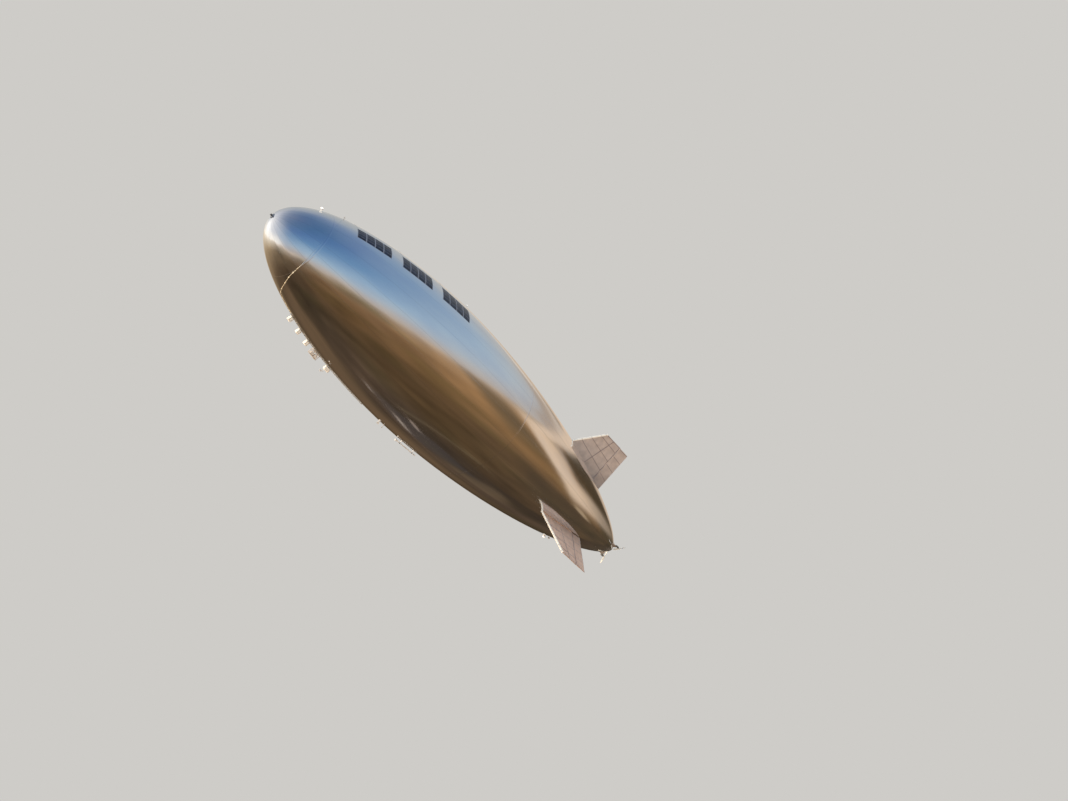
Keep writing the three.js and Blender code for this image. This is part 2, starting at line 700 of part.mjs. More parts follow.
function addAftBoom() {
  const tube = rod(bellyPoint(BOOM_FROM, BOOM_DEPTH), bellyPoint(BOOM_TO, BOOM_DEPTH), mm(0.055), 10);
  const bulb = ball(mm(0.14)).translate(...bellyPoint(BOOM_FROM, BOOM_DEPTH).toArray());
  const struts = [29.65, 31.75].flatMap((station) => [
    rod(bellyPoint(station, -0.06), bellyPoint(station, BOOM_DEPTH), mm(0.035), 6),
    box(150, 120, 60).rotateY(-Math.atan(hullSlope(station))).translate(...bellyPoint(station, -0.045).toArray()),
  ]);
  add('aft_boom', seated(joined(tube, bulb, ...struts)), 'white');
}

// Small fittings that stand on the hull: a foot plate, a stem and a head
function fitting(station, onTop, reach, stem, headGeometry, foot) {
  const side = onTop ? 1 : -1;
  const at = (depth) => {
    const p = profilePoint(station, mm(depth));
    return new THREE.Vector3(p.x, 0, side * p.r);
  };
  const base = box(foot, foot, 60).rotateY(side * Math.atan(hullSlope(station))).translate(...at(-0.05).toArray());
  const post = rod(at(-0.06), at(reach), stem, 6);
  const head = headGeometry.translate(...at(reach).toArray());
  return seated(joined(base, post, head));
}

function addSmallFittings() {
  add('nose_light', fitting(3.45, true, 0.26, 22, ball(80), 150), 'white');
  add('top_antenna', fitting(5.9, true, 0.2, 12, box(90, 30, 70), 90), 'composite');
  add('top_beacon', fitting(23.9, true, 0.24, 16, ball(44), 120), 'white');
  add('belly_camera', fitting(25.7, false, 0.28, 24, box(130, 110, 110), 140), 'white');
  add('belly_antenna', fitting(26.45, false, 0.36, 12, ball(38), 90), 'composite');
  const lamp = fitting(54.8, false, 0.3, 26, ball(95), 170);
  const vent = fitting(55.6, false, 0.26, 20, ball(62), 120);
  add('tail_lamp', lamp, 'white');
  add('tail_vent', vent, 'composite');
}

addEnvelope();
addEnds();
addTapes();
addSolarArrays();
addFins();
addTailPropulsion();
addPayload();
addAftBoom();
addSmallFittings();

export default root;
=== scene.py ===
"""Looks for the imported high-altitude airship: a mirror-bright hull, fabric fins, solar arrays and fittings.

Lengths are metres of the 1:2 model. Stations are metres of the real ship, aft of its nose, and roll
angles are degrees from the top, positive to port, as in the CAD source.
"""
import json
import math

import bmesh
import bpy
import numpy as np
from mathutils import Matrix, Vector


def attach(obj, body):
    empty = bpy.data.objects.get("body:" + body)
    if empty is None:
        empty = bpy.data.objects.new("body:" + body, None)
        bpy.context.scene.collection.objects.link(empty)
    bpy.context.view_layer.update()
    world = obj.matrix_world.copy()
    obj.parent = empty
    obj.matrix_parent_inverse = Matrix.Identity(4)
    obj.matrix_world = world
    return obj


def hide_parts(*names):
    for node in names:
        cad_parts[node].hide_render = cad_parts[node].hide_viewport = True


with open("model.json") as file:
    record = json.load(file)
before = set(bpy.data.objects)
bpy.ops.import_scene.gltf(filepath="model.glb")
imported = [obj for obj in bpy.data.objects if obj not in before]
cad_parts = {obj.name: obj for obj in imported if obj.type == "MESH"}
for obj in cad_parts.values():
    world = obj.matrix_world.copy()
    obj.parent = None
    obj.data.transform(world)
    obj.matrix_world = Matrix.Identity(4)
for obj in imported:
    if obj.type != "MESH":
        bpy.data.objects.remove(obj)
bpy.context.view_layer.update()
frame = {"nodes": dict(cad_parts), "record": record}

# Scale and hull, the same as the CAD source's
SCALE = 0.5
HULL_LENGTH = 65.0
HULL_RADIUS = 8.23
WIDEST_STATION = 27.1
TAIL_CURVE = 1.81
TAIL_POWER = 0.69
BUOYANCY_STATION = 29.5
FRONT_RING = 4.5
REAR_RING = 35.9
NOSE_STATION = 0.02

GORES = 24
GORE_DEPTH = 0.0022
HULL_RINGS = 300
HULL_SIDES = 240
# How deep a pad's or tape's underside lies in the hull
SUNK = -0.003


def x_of(station):
    return (BUOYANCY_STATION - np.asarray(station, float)) * SCALE


def hull_radius(station):
    """Radius of the hull in model metres."""
    s = np.asarray(station, float)
    front = np.clip((WIDEST_STATION - s) / WIDEST_STATION, 0, 1)
    rear = np.clip((s - WIDEST_STATION) / (HULL_LENGTH - WIDEST_STATION), 0, 1)
    front_radius = np.sqrt(np.clip(1 - front**2, 0, None))
    rear_radius = np.clip(1 - rear**TAIL_CURVE, 0, None) ** TAIL_POWER
    return HULL_RADIUS * SCALE * np.where(s < WIDEST_STATION, front_radius, rear_radius)


def hull_slope(station):
    """Rise of the radius per metre aft."""
    step = 0.01
    return (hull_radius(station + step) - hull_radius(station - step)) / (2 * step * SCALE)


def gore_dip(station, degrees):
    """How far the film sinks between the middles of its gores."""
    depth = GORE_DEPTH * np.minimum(1.0, hull_radius(station) / 1.5)
    return depth * (1 - np.cos(np.radians(degrees) * GORES)) / 2


def on_hull(station, degrees, out=0.0):
    """Points on the hull, moved outwards along its normal by out metres."""
    s, a, out = np.broadcast_arrays(np.asarray(station, float), degrees, out)
    slope = hull_slope(s)
    norm = np.hypot(1, slope)
    lift = out - gore_dip(s, a)
    x = x_of(s) + lift * slope / norm
    r = hull_radius(s) + lift / norm
    angle = np.radians(a)
    return np.stack([x, r * np.sin(angle), r * np.cos(angle)], -1)


def hull_frame(station, degrees, depth=0.0):
    """A matrix on the hull: its X runs along the hull to the nose, its Z out along the normal."""
    slope = float(hull_slope(station))
    norm = math.hypot(1, slope)
    angle = math.radians(degrees)
    radial = Vector((0, math.sin(angle), math.cos(angle)))
    normal = (Vector((slope, 0, 0)) + radial) / norm
    along = (Vector((1, 0, 0)) - slope * radial) / norm
    side = normal.cross(along)
    place = Vector(on_hull(station, degrees, 0.0)) + depth * normal
    m = Matrix((along, side, normal)).transposed().to_4x4()
    m.translation = place
    return m


# Building meshes
def at(x, y, z):
    return Matrix.Translation((x, y, z))


def turned(degrees, axis):
    return Matrix.Rotation(math.radians(degrees), 4, axis)


FLAT = Matrix.Identity(4)
UPRIGHT = turned(-90, "Y")


def in_scene(name, data):
    """A new object, linked to the scene."""
    obj = bpy.data.objects.new(name, data)
    bpy.context.scene.collection.objects.link(obj)
    return obj


def outline(half_x, half_y, corner, steps):
    """Points round a rounded rectangle."""
    points = []
    for side_x, side_y, start in ((1, 1, 0), (-1, 1, 90), (-1, -1, 180), (1, -1, 270)):
        for k in range(steps + 1):
            a = math.radians(start + 90 * k / steps)
            x = side_x * (half_x - corner) + corner * math.cos(a)
            y = side_y * (half_y - corner) + corner * math.sin(a)
            points.append((x, y))
    return points


class Shape:
    """Vertices and faces with a material number for each face."""

    def __init__(self, place=FLAT):
        self.verts = []
        self.faces = []
        self.slots = []
        self.place = place

    def add(self, verts, faces, slot=0, place=None):
        m = self.place @ place if place is not None else self.place
        first = len(self.verts)
        self.verts.extend(tuple(m @ Vector(v)) for v in verts)
        self.faces.extend(tuple(first + i for i in face) for face in faces)
        self.slots.extend([slot] * len(faces))

    def grid(self, points, slot=0, wrap=False, place=None):
        """A surface through rows of points. Wrapped rows close on themselves."""
        rows, cols = points.shape[:2]
        faces = []
        for i in range(rows - 1):
            for j in range(cols if wrap else cols - 1):
                k = (j + 1) % cols
                faces.append((i * cols + j, i * cols + k, (i + 1) * cols + k, (i + 1) * cols + j))
        self.add(points.reshape(-1, 3), faces, slot, place)

    def closed(self, points, slot=0, place=None):
        """A solid through closed rows of points, with flat ends."""
        self.grid(points, slot, wrap=True, place=place)
        ring = tuple(range(points.shape[1]))
        self.add(points[0], [ring[::-1]], slot, place)
        self.add(points[-1], [ring], slot, place)

    def sheet(self, outer, inner, slot=0, wrap=False, place=None):
        """A closed sheet between two grids of points."""
        rows, cols = outer.shape[:2]
        top = np.arange(rows * cols).reshape(rows, cols)
        low = top + rows * cols
        faces = []
        pairs = [(j, (j + 1) % cols) for j in range(cols if wrap else cols - 1)]
        for i in range(rows - 1):
            for j, k in pairs:
                faces.append((top[i, j], top[i, k], top[i + 1, k], top[i + 1, j]))
                faces.append((low[i, j], low[i + 1, j], low[i + 1, k], low[i, k]))
        for j, k in pairs:
            faces.append((top[0, k], top[0, j], low[0, j], low[0, k]))
            faces.append((top[-1, j], top[-1, k], low[-1, k], low[-1, j]))
        if not wrap:
            for i in range(rows - 1):
                faces.append((top[i, 0], top[i + 1, 0], low[i + 1, 0], low[i, 0]))
                faces.append((top[i + 1, -1], top[i, -1], low[i, -1], low[i + 1, -1]))
        points = np.concatenate([outer.reshape(-1, 3), inner.reshape(-1, 3)])
        self.add(points, faces, slot, place)

    def lathe(self, profile, slot=0, sides=32, place=None):
        """A solid turned about local X from (x, radius) pairs, closed at both ends."""
        turn = np.arange(sides) / sides * 2 * math.pi
        rows = [np.stack([np.full(sides, x), r * np.sin(turn), r * np.cos(turn)], -1) for x, r in profile]
        self.closed(np.array(rows), slot, place)

    def tube(self, path, radius, slot=0, sides=12, place=None):
        """A round tube along a path, closed at both ends."""
        path = [Vector(p) for p in path]
        radii = radius if isinstance(radius, (list, tuple)) else [radius] * len(path)
        turns = [2 * math.pi * j / sides for j in range(sides)]
        side = (path[1] - path[0]).normalized().orthogonal().normalized()
        rows = []
        for i, p in enumerate(path):
            ahead = (path[min(i + 1, len(path) - 1)] - path[max(i - 1, 0)]).normalized()
            side = (side - side.dot(ahead) * ahead).normalized()
            other = ahead.cross(side)
            rows.append([tuple(p + radii[i] * (math.cos(a) * side + math.sin(a) * other)) for a in turns])
        self.closed(np.array(rows), slot, place)

    def block(self, size, centre=(0, 0, 0), bevel=0.004, slot=0, segments=2, place=None):
        """A box with rounded edges."""
        bm = bmesh.new()
        bmesh.ops.create_cube(bm, size=1.0)
        bmesh.ops.scale(bm, vec=Vector(size), verts=bm.verts)
        if bevel > 0:
            rounding = {"offset": bevel, "segments": segments, "profile": 0.5, "affect": "EDGES"}
            bmesh.ops.bevel(bm, geom=bm.edges[:], **rounding)
        bmesh.ops.translate(bm, vec=Vector(centre), verts=bm.verts)
        verts = [v.co.copy() for v in bm.verts]
        faces = [tuple(v.index for v in f.verts) for f in bm.faces]
        bm.free()
        self.add(verts, faces, slot, place)

    def stack(self, rows, slot=0, place=None, steps=5):
        """A solid of rounded rectangles along local Z, in rows of (z, half x, half y, corner radius)."""
        points = np.array([[(x, y, z) for x, y in outline(hx, hy, r, steps)] for z, hx, hy, r in rows])
        self.closed(points, slot, place)

    def upright(self, profile, slot=0, sides=28, place=None):
        """A solid turned about local Z from (z, radius) pairs."""
        self.lathe(profile, slot, sides, (place @ UPRIGHT) if place is not None else UPRIGHT)

    def ball(self, radius, centre, slot, rings, sides):
        turns = np.linspace(0, math.pi, rings + 1)
        profile = [(radius * math.cos(a), radius * max(math.sin(a), 0.01)) for a in turns]
        self.lathe(profile, slot, sides, at(*centre))

    def piece(self, name, body, materials, slot_name, replaces=(), angle=35):
        """Makes the object, recalculates its normals and lets it ride on a body."""
        mesh = bpy.data.meshes.new(name)
        mesh.from_pydata(self.verts, [], self.faces)
        for m in materials:
            mesh.materials.append(m)
        mesh.polygons.foreach_set("material_index", self.slots)
        bm = bmesh.new()
        bm.from_mesh(mesh)
        bmesh.ops.remove_doubles(bm, verts=bm.verts, dist=1e-6)
        bmesh.ops.recalc_face_normals(bm, faces=bm.faces)
        bm.to_mesh(mesh)
        bm.free()
        obj = in_scene(name, mesh)
        mesh.shade_smooth()
        mesh.set_sharp_from_angle(angle=math.radians(angle))
        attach(obj, body)
        if replaces:
            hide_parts(*replaces)
        return obj


# Building materials
DEGREES = 180 / math.pi
# Threads of the cloth's weave, as the scale of a wave
WEAVE = 220.0


class Tree:
    """Short ways to add nodes to a node tree."""

    def __init__(self, tree):
        self.tree = tree
        tree.nodes.clear()

    def add(self, kind, inputs=None, **settings):
        node = self.tree.nodes.new("ShaderNode" + kind)
        for key, value in settings.items():
            setattr(node, key, value)
        for key, value in (inputs or {}).items():
            self.put(node.inputs[key], value)
        return node

    def put(self, socket, value):
        if isinstance(value, bpy.types.NodeSocket):
            self.tree.links.new(value, socket)
        else:
            socket.default_value = value

    def math(self, operation, a, b=0.0, c=0.0):
        node = self.add("Math", {0: a, 1: b}, operation=operation)
        if operation == "MULTIPLY_ADD":
            self.put(node.inputs[2], c)
        return node.outputs[0]

    def times(self, product, *factors):
        for factor in factors:
            product = self.math("MULTIPLY", product, factor)
        return product

    def dot(self, vector, fixed):
        node = self.add("VectorMath", {0: vector, 1: fixed}, operation="DOT_PRODUCT")
        return node.outputs["Value"]

    def ramp(self, value, stops, interpolation="EASE"):
        node = self.add("ValToRGB", {0: value})
        node.color_ramp.interpolation = interpolation
        elements = node.color_ramp.elements
        while len(elements) < len(stops):
            elements.new(0.5)
        for element, (position, colour) in zip(elements, stops):
            element.position = position
            element.color = (*colour, 1.0) if not isinstance(colour, float) else (colour, colour, colour, 1.0)
        return node.outputs[0]

    def mix(self, factor, a, b, blend="MIX"):
        node = self.add("Mix", data_type="RGBA", blend_type=blend)
        self.put(node.inputs[0], factor)
        self.put(node.inputs[6], a)
        self.put(node.inputs[7], b)
        return node.outputs[2]

    def step(self, value, low, high):
        """0 below low, 1 above high, smooth between."""
        inputs = {0: value, 1: low, 2: high, 3: 0.0, 4: 1.0}
        return self.add("MapRange", inputs, interpolation_type="SMOOTHSTEP").outputs[0]

    def fall(self, value, low, high):
        """1 below low, 0 above high, smooth between."""
        return self.math("SUBTRACT", 1.0, self.step(value, low, high))

    def band(self, value, low, high, soft):
        """1 between low and high, with soft edges."""
        start = self.step(value, low - soft, low + soft)
        return self.times(start, self.fall(value, high - soft, high + soft))

    def spread(self, value, low, high):
        """From low to high as a noise value goes from 0.3 to 0.7."""
        return self.add("MapRange", {0: value, 1: 0.3, 2: 0.7, 3: low, 4: high}).outputs[0]

    def noise(self, vector, scale, detail, rough=0.5):
        inputs = {"Vector": vector, "Scale": scale, "Detail": detail, "Roughness": rough}
        return self.add("TexNoise", inputs).outputs[0]

    def wave(self, vector, scale, distortion, **settings):
        inputs = {"Vector": vector, "Scale": scale, "Distortion": distortion}
        return self.add("TexWave", inputs, **settings).outputs[1]

    def stretched(self, vector, scale):
        return self.add("Mapping", {0: vector, 3: scale}).outputs[0]

    def off_axis(self, coords):
        """The coordinates across the hull's axis, and the distance from it."""
        y, z = (self.add("SeparateXYZ", {0: coords}).outputs[i] for i in (1, 2))
        return y, z, self.math("SQRT", self.math("ADD", self.times(y, y), self.times(z, z)))

    def relief(self, shader, height, strength, distance):
        bump = self.add("Bump", {"Strength": strength, "Distance": distance, "Height": height})
        self.put(shader.inputs["Normal"], bump.outputs[0])

    def degrees_from(self, vector, fixed):
        """Degrees between a vector and a fixed direction."""
        return self.times(self.math("ARCCOSINE", self.dot(vector, fixed)), DEGREES)

    def screen_ramp(self, value, stops):
        """A straight ramp through rows of (position, red, green, blue) in 8-bit screen values."""
        return self.ramp(value, [(position, srgb(*colour)) for position, *colour in stops], "LINEAR")

    def patch(self, under, amount, colour, *bands):
        """Lays a colour where bands cross. Each is a row of (value, low, high, soft)."""
        cover = self.times(*(self.band(*row) for row in bands), amount)
        return self.mix(cover, under, colour)


def srgb(r, g, b):
    """Linear colour from 8-bit screen values."""
    return tuple(((c / 255 + 0.055) / 1.055) ** 2.4 if c > 10 else c / 255 / 12.92 for c in (r, g, b))


def rgba(colour):
    return (*colour, 1.0)


def screen(r, g, b):
    return rgba(srgb(r, g, b))


def surface(name, metallic=0.0, roughness=0.5, **uniform):
    """A material with an empty tree, its Principled shader and its object coordinates."""
    material = bpy.data.materials.new(name)
    material.use_nodes = True
    t = Tree(material.node_tree)
    shader = t.add("BsdfPrincipled")
    shader.inputs["Metallic"].default_value = metallic
    shader.inputs["Roughness"].default_value = roughness
    for key, value in uniform.items():
        shader.inputs[key.replace("_", " ")].default_value = value
    out = t.add("OutputMaterial")
    t.tree.links.new(shader.outputs[0], out.inputs[0])
    coords = t.add("TexCoord").outputs["Object"]
    return material, t, shader, coords


def film_material():
    """Aluminised film: a smooth mirror with heat-sealed gore seams and fine lengthwise drawing lines."""
    m, t, shader, coords = surface("aluminised_film", metallic=1.0)
    y, z, out = t.off_axis(coords)
    turn = t.times(t.math("ARCTAN2", y, z), GORES / (2 * math.pi))
    offset = t.math("ABSOLUTE", t.math("SUBTRACT", turn, t.math("ROUND", turn)))
    seam = t.fall(t.times(offset, out, 2 * math.pi / GORES), 0.006, 0.014)
    cloud = t.noise(t.stretched(coords, (0.3, 1.6, 1.6)), 1.0, 3.0)
    lines = t.noise(t.stretched(coords, (0.12, 11.0, 11.0)), 1.0, 2.0)
    tint = t.ramp(cloud, [(0.3, srgb(238, 239, 242)), (0.7, srgb(247, 246, 244))])
    t.put(shader.inputs["Base Color"], t.mix(t.times(seam, 0.3), tint, screen(196, 196, 198)))
    t.put(shader.inputs["Roughness"], t.math("MULTIPLY_ADD", seam, 0.12, t.spread(lines, 0.095, 0.125)))
    height = t.math("MULTIPLY_ADD", lines, 0.05, t.math("MULTIPLY_ADD", seam, 0.04, cloud))
    t.relief(shader, height, 0.12, 0.02)
    return m


def cloth_material(name, colour, paint_root_shade=False):
    """Matte fabric with a fine weave and faint stains. Where asked, painted shade darkens it towards the
    hull, standing in for the hull's shade on the fin's root.
    """
    m, t, shader, coords = surface(name, roughness=0.75, Sheen_Weight=0.25, Sheen_Roughness=0.5)
    deep = tuple(c * 0.84 for c in colour)
    pale = tuple(min(1.0, c * 1.06) for c in colour)
    shown = t.ramp(t.noise(coords, 2.5, 4.0), [(0.25, deep), (0.75, pale)])
    # Painted shade: darker towards the hull, standing in for the shade the hull casts on the fin's root.
    if paint_root_shade:
        out = t.off_axis(coords)[2]
        painted_root_shade = t.ramp(t.step(out, 2.5, 4.1), [(0.0, 0.66), (0.5, 0.9), (1.0, 1.0)], "LINEAR")
        shown = t.mix(1.0, shown, painted_root_shade, "MULTIPLY")
    t.put(shader.inputs["Base Color"], shown)
    weave = t.times(*(t.wave(coords, WEAVE, 0.4, bands_direction=way) for way in "XZ"))
    crease = t.noise(t.stretched(coords, (2.0, 2.0, 2.0)), 3.0, 2.0)
    t.relief(shader, t.math("MULTIPLY_ADD", weave, 0.05, crease), 0.25, 0.02)
    return m


def paint_material(name, colour, roughness, metallic=0.0, grain=40.0, wear=0.12, **uniform):
    """Paint, plastic or metal with slight mottling, and roughness that varies with it."""
    m, t, shader, coords = surface(name, metallic=metallic, roughness=roughness, **uniform)
    spots = t.noise(coords, grain, 5.0, 0.6)
    deep = tuple(c * (1 - wear) for c in colour)
    pale = tuple(min(1.0, c * (1 + wear / 2)) for c in colour)
    t.put(shader.inputs["Base Color"], t.ramp(spots, [(0.3, deep), (0.65, pale)]))
    t.put(shader.inputs["Roughness"], t.spread(spots, roughness * 0.85, min(1.0, roughness * 1.2)))
    t.relief(shader, spots, 0.1, 0.002)
    return m


def cell_material():
    """Solar cell: very dark blue under a clear coat, with hair-thin collector lines."""
    m, t, shader, coords = surface("solar_cell", roughness=0.3, Coat_Weight=0.15, Coat_Roughness=0.12)
    shader.inputs["Specular IOR Level"].default_value = 0.3
    base = t.ramp(t.noise(coords, 3.0, 2.0), [(0.3, srgb(10, 18, 38)), (0.7, srgb(20, 33, 62))])
    lines = t.wave(coords, 60.0, 0.0, bands_direction="X", wave_profile="SAW")
    thin = t.step(lines, 0.9, 0.97)
    t.put(shader.inputs["Base Color"], t.mix(t.times(thin, 0.22), base, screen(120, 125, 140)))
    return m


def sleeve_material():
    """Bonded sleeve: cream cloth low on the hull, with an aluminised face from its flank upwards."""
    m, t, shader, coords = surface("cable_sleeve", roughness=0.38)
    bright = t.step(t.add("SeparateXYZ", {0: coords}).outputs[2], -1.15, -0.65)
    spots = t.noise(coords, 9.0, 4.0)
    cream = t.ramp(spots, [(0.35, srgb(206, 184, 146)), (0.6, srgb(255, 244, 214))])
    t.put(shader.inputs["Metallic"], bright)
    t.put(shader.inputs["Base Color"], t.mix(bright, cream, screen(232, 236, 240)))
    t.put(shader.inputs["Roughness"], t.math("MULTIPLY_ADD", bright, -0.25, 0.4))
    t.relief(shader, spots, 0.2, 0.004)
    return m


FILM = film_material()
TAPE = paint_material("load_tape", srgb(240, 240, 243), 0.15, metallic=1.0, grain=120.0, wear=0.04)
SLEEVE = sleeve_material()
# Painted shade: both fin cloths darken towards the hull, for the shade the hull casts on the fins' roots.
CLOTH = cloth_material("top_fin_cloth", srgb(231, 217, 203), paint_root_shade=True)
# Painted warm light: the lower fins' cover is the top fin's cloth tinted warmer, for the warm low light that
# falls on them.
WARM_LIT_LOWER_CLOTH = cloth_material("lower_fin_cloth_painted_warm_light", srgb(230, 199, 176), paint_root_shade=True)
CLOTH_TAPE = cloth_material("fin_tape", srgb(158, 142, 138))
CELL = cell_material()
BACKING = paint_material("array_backing", srgb(150, 156, 168), 0.5)
WHITE = paint_material("white_paint", srgb(238, 235, 228), 0.4)
COMPOSITE = paint_material("grey_composite", srgb(196, 193, 186), 0.45)
BLADE = paint_material("pale_blade", srgb(226, 220, 206), 0.35)
DARK = paint_material("dark_housing", srgb(46, 48, 51), 0.45, wear=0.3)
METAL = paint_material("bare_metal", srgb(176, 178, 182), 0.3, metallic=1.0)
MOTOR = paint_material("motor_housing", srgb(150, 147, 138), 0.45, wear=0.2)
GLASS = paint_material("lens_glass", srgb(18, 20, 26), 0.06, Coat_Weight=1.0)
LAMP = paint_material("lamp_dome", srgb(246, 244, 236), 0.2, Coat_Weight=0.5,
                      Emission_Color=(1.0, 0.97, 0.9, 1.0), Emission_Strength=0.8)
MAST = paint_material("mooring_paint", srgb(84, 84, 86), 0.45, wear=0.25)
CREAM = paint_material("cream_paint", srgb(246, 240, 226), 0.5, grain=30.0, wear=0.08)
WRAP = cloth_material("wrapped_payload", srgb(232, 222, 208))
TAN = paint_material("anodised_truss", srgb(200, 187, 172), 0.5)
STRAP = cloth_material("box_strap", srgb(172, 168, 158))


# Envelope
def make_envelope():
    turn = np.linspace(0, np.pi, HULL_RINGS)
    stations = NOSE_STATION + (HULL_LENGTH - 0.01 - NOSE_STATION) * (1 - np.cos(turn)) / 2
    degrees = np.arange(HULL_SIDES) * 360 / HULL_SIDES
    grid = on_hull(stations[:, None], degrees[None, :])
    s = Shape()
    s.grid(grid, wrap=True)
    ring = tuple(range(len(degrees)))
    s.add(grid[0], [ring])
    s.add(grid[-1], [ring[::-1]])
    nodes = ["envelope_nose", "nose_cap", "tail_cap"]
    for part in ("middle", "tail"):
        nodes += [f"envelope_{part}_{side}" for side in ("top", "port", "belly", "starboard")]
    s.piece("envelope_skin", "hull", [FILM], "film", nodes, angle=60)


TAPE_HALF_WIDTH = 0.08


def make_tapes():
    shares = np.array([-1, -0.93, -0.5, 0, 0.5, 0.93, 1])
    thick = np.array([0.0001, 0.0009, 0.0011, 0.0011, 0.0011, 0.0009, 0.0001])
    degrees = np.linspace(0, 360, HULL_SIDES, endpoint=False)[None, :]
    for name, station in (("front", FRONT_RING), ("rear", REAR_RING)):
        s = Shape()
        stations = (station + shares * TAPE_HALF_WIDTH)[:, None]
        s.sheet(on_hull(stations, degrees, thick[:, None]), on_hull(stations, degrees, SUNK), wrap=True)
        s.piece(f"{name}_ring_load_tape", "hull", [TAPE], "tape", [f"{name}_ring_tape"])


# Cable sleeve, bonded to the film from the front battery box round the nose to the top antenna
SLEEVE_WIDTH = 0.024
SLEEVE_HEIGHT = 0.008
SLEEVE_TAPE_HEIGHT = 0.0016
SLEEVE_PATCH_LIFT = 0.0012
SLEEVE_ROUTES = {
    "nose": ((9.0, 180.0), (7.6, 180.0), (6.6, 179.0), (5.89, 169.9), (5.14, 151.9), (4.69, 137.9),
             (4.49, 124.9), (4.39, 111.4), (4.24, 88.9), (4.34, 64.4), (4.79, 36.4), (5.3, 16.0),
             (5.75, 4.0)),
    "top": ((3.62, 0.0), (4.2, 0.8), (4.9, 1.6), (5.5, 1.9), (6.1, 2.0), (6.6, 1.4), (7.1, 0.6)),
}


def smooth_route(points, count):
    """Points spaced along a smooth curve through the given ones."""
    points = np.array(points, float)
    ends = np.vstack([2 * points[0] - points[1], points, 2 * points[-1] - points[-2]])
    out = []
    for u in np.linspace(0, len(points) - 1, count):
        i = min(int(u), len(points) - 2)
        f = u - i
        a, b, c, d = ends[i:i + 4]
        square = 2 * a - 5 * b + 4 * c - d
        cube = 3 * b - a - 3 * c + d
        out.append(0.5 * (2 * b + (c - a) * f + square * f**2 + cube * f**3))
    return np.array(out)


def make_sleeve(name, points):
    s = Shape()
    corners = on_hull(*np.array(points).T)
    count = max(25, int(sum(math.dist(p, q) for p, q in zip(corners, corners[1:])) / 0.06))
    stations, degrees = smooth_route(points, count).T
    radius = hull_radius(stations)
    stretch = np.hypot(1, hull_slope(stations)) * SCALE
    along = np.gradient(stations) * stretch
    around = np.radians(np.gradient(degrees)) * radius
    length = np.hypot(along, around)
    shares = np.linspace(-1, 1, 9)
    side = shares[None, :] * SLEEVE_WIDTH / 2
    across_station = stations[:, None] - side * (around / length / stretch)[:, None]
    across_degrees = degrees[:, None] + np.degrees(side * (along / length / radius)[:, None])
    low = np.clip((-0.3 - radius * np.cos(np.radians(degrees))) / 0.7, 0, 1)
    heights = SLEEVE_TAPE_HEIGHT + (SLEEVE_HEIGHT - SLEEVE_TAPE_HEIGHT) * low * low * (3 - 2 * low)
    dome = heights[:, None] * np.sqrt(1.0 - shares**2 * 0.98)[None, :]
    s.sheet(on_hull(across_station, across_degrees, dome), on_hull(across_station, across_degrees, SUNK))
    # Patches that hold it down
    wide = 1 + 0.9 * np.abs(shares)[None, :] ** 3
    for k in range(4, count - 4, 9):
        rows = slice(k - 1, k + 2)
        patch_station = stations[rows, None] + (across_station[rows] - stations[rows, None]) * wide
        patch_degrees = degrees[rows, None] + (across_degrees[rows] - degrees[rows, None]) * wide
        lift = dome[rows] + SLEEVE_PATCH_LIFT
        s.sheet(on_hull(patch_station, patch_degrees, lift), on_hull(patch_station, patch_degrees, SUNK))
    s.piece(f"{name}_cable_sleeve", "hull", [SLEEVE], "tape")


# Solar arrays: cells on both sides of the back, and bare film between them
SOLAR_HALF_ANGLE = 36.5
BARE_HALF_ANGLE = 18.25
SOLAR_ARRAYS = (("front", 7.05, 11.3), ("middle", 12.8, 17.1), ("rear", 18.7, 23.1))
SOLAR_BAYS = 4
SIDE_ROWS = 4
BAY_GAP = 0.11
ROW_GAP = 0.05
BACKING_THICKNESS = 0.0025
BARE_FILM_THICKNESS = 0.0012
CELL_THICKNESS = 0.0018


def hull_patch(shape, stations, degrees, rows, cols, thickness, slot=0, base=0.0):
    """A thin sheet lying on the hull between two stations and two roll angles."""
    stations = np.linspace(*stations, rows)[:, None]
    degrees = np.linspace(*degrees, cols)[None, :]
    shape.sheet(on_hull(stations, degrees, base + thickness), on_hull(stations, degrees, base + SUNK), slot)


def make_arrays():
    bare = (-BARE_HALF_ANGLE, BARE_HALF_ANGLE)
    row = (SOLAR_HALF_ANGLE - BARE_HALF_ANGLE) / SIDE_ROWS
    for name, first, last in SOLAR_ARRAYS:
        s = Shape()
        hull_patch(s, (first, last), (-SOLAR_HALF_ANGLE, SOLAR_HALF_ANGLE), 17, 81, BACKING_THICKNESS)
        hull_patch(s, (first + 0.01, last - 0.01), bare, 17, 41, BARE_FILM_THICKNESS, 2, BACKING_THICKNESS)
        bay = (last - first) / SOLAR_BAYS
        for i in range(SOLAR_BAYS):
            front = first + i * bay + BAY_GAP / 2
            rear = first + (i + 1) * bay - BAY_GAP / 2
            gap = math.degrees(ROW_GAP * SCALE / float(hull_radius((front + rear) / 2)))
            for start in (-SOLAR_HALF_ANGLE, BARE_HALF_ANGLE):
                for j in range(SIDE_ROWS):
                    low = start + j * row + gap / 2
                    cell = (front, rear), (low, low + row - gap)
                    hull_patch(s, *cell, 4, 6, CELL_THICKNESS, 1, BACKING_THICKNESS)
        nodes = [f"solar_array_{name}"]
        s.piece(f"{name}_solar_cells", "hull", [BACKING, CELL, FILM], "solar", nodes, angle=50)


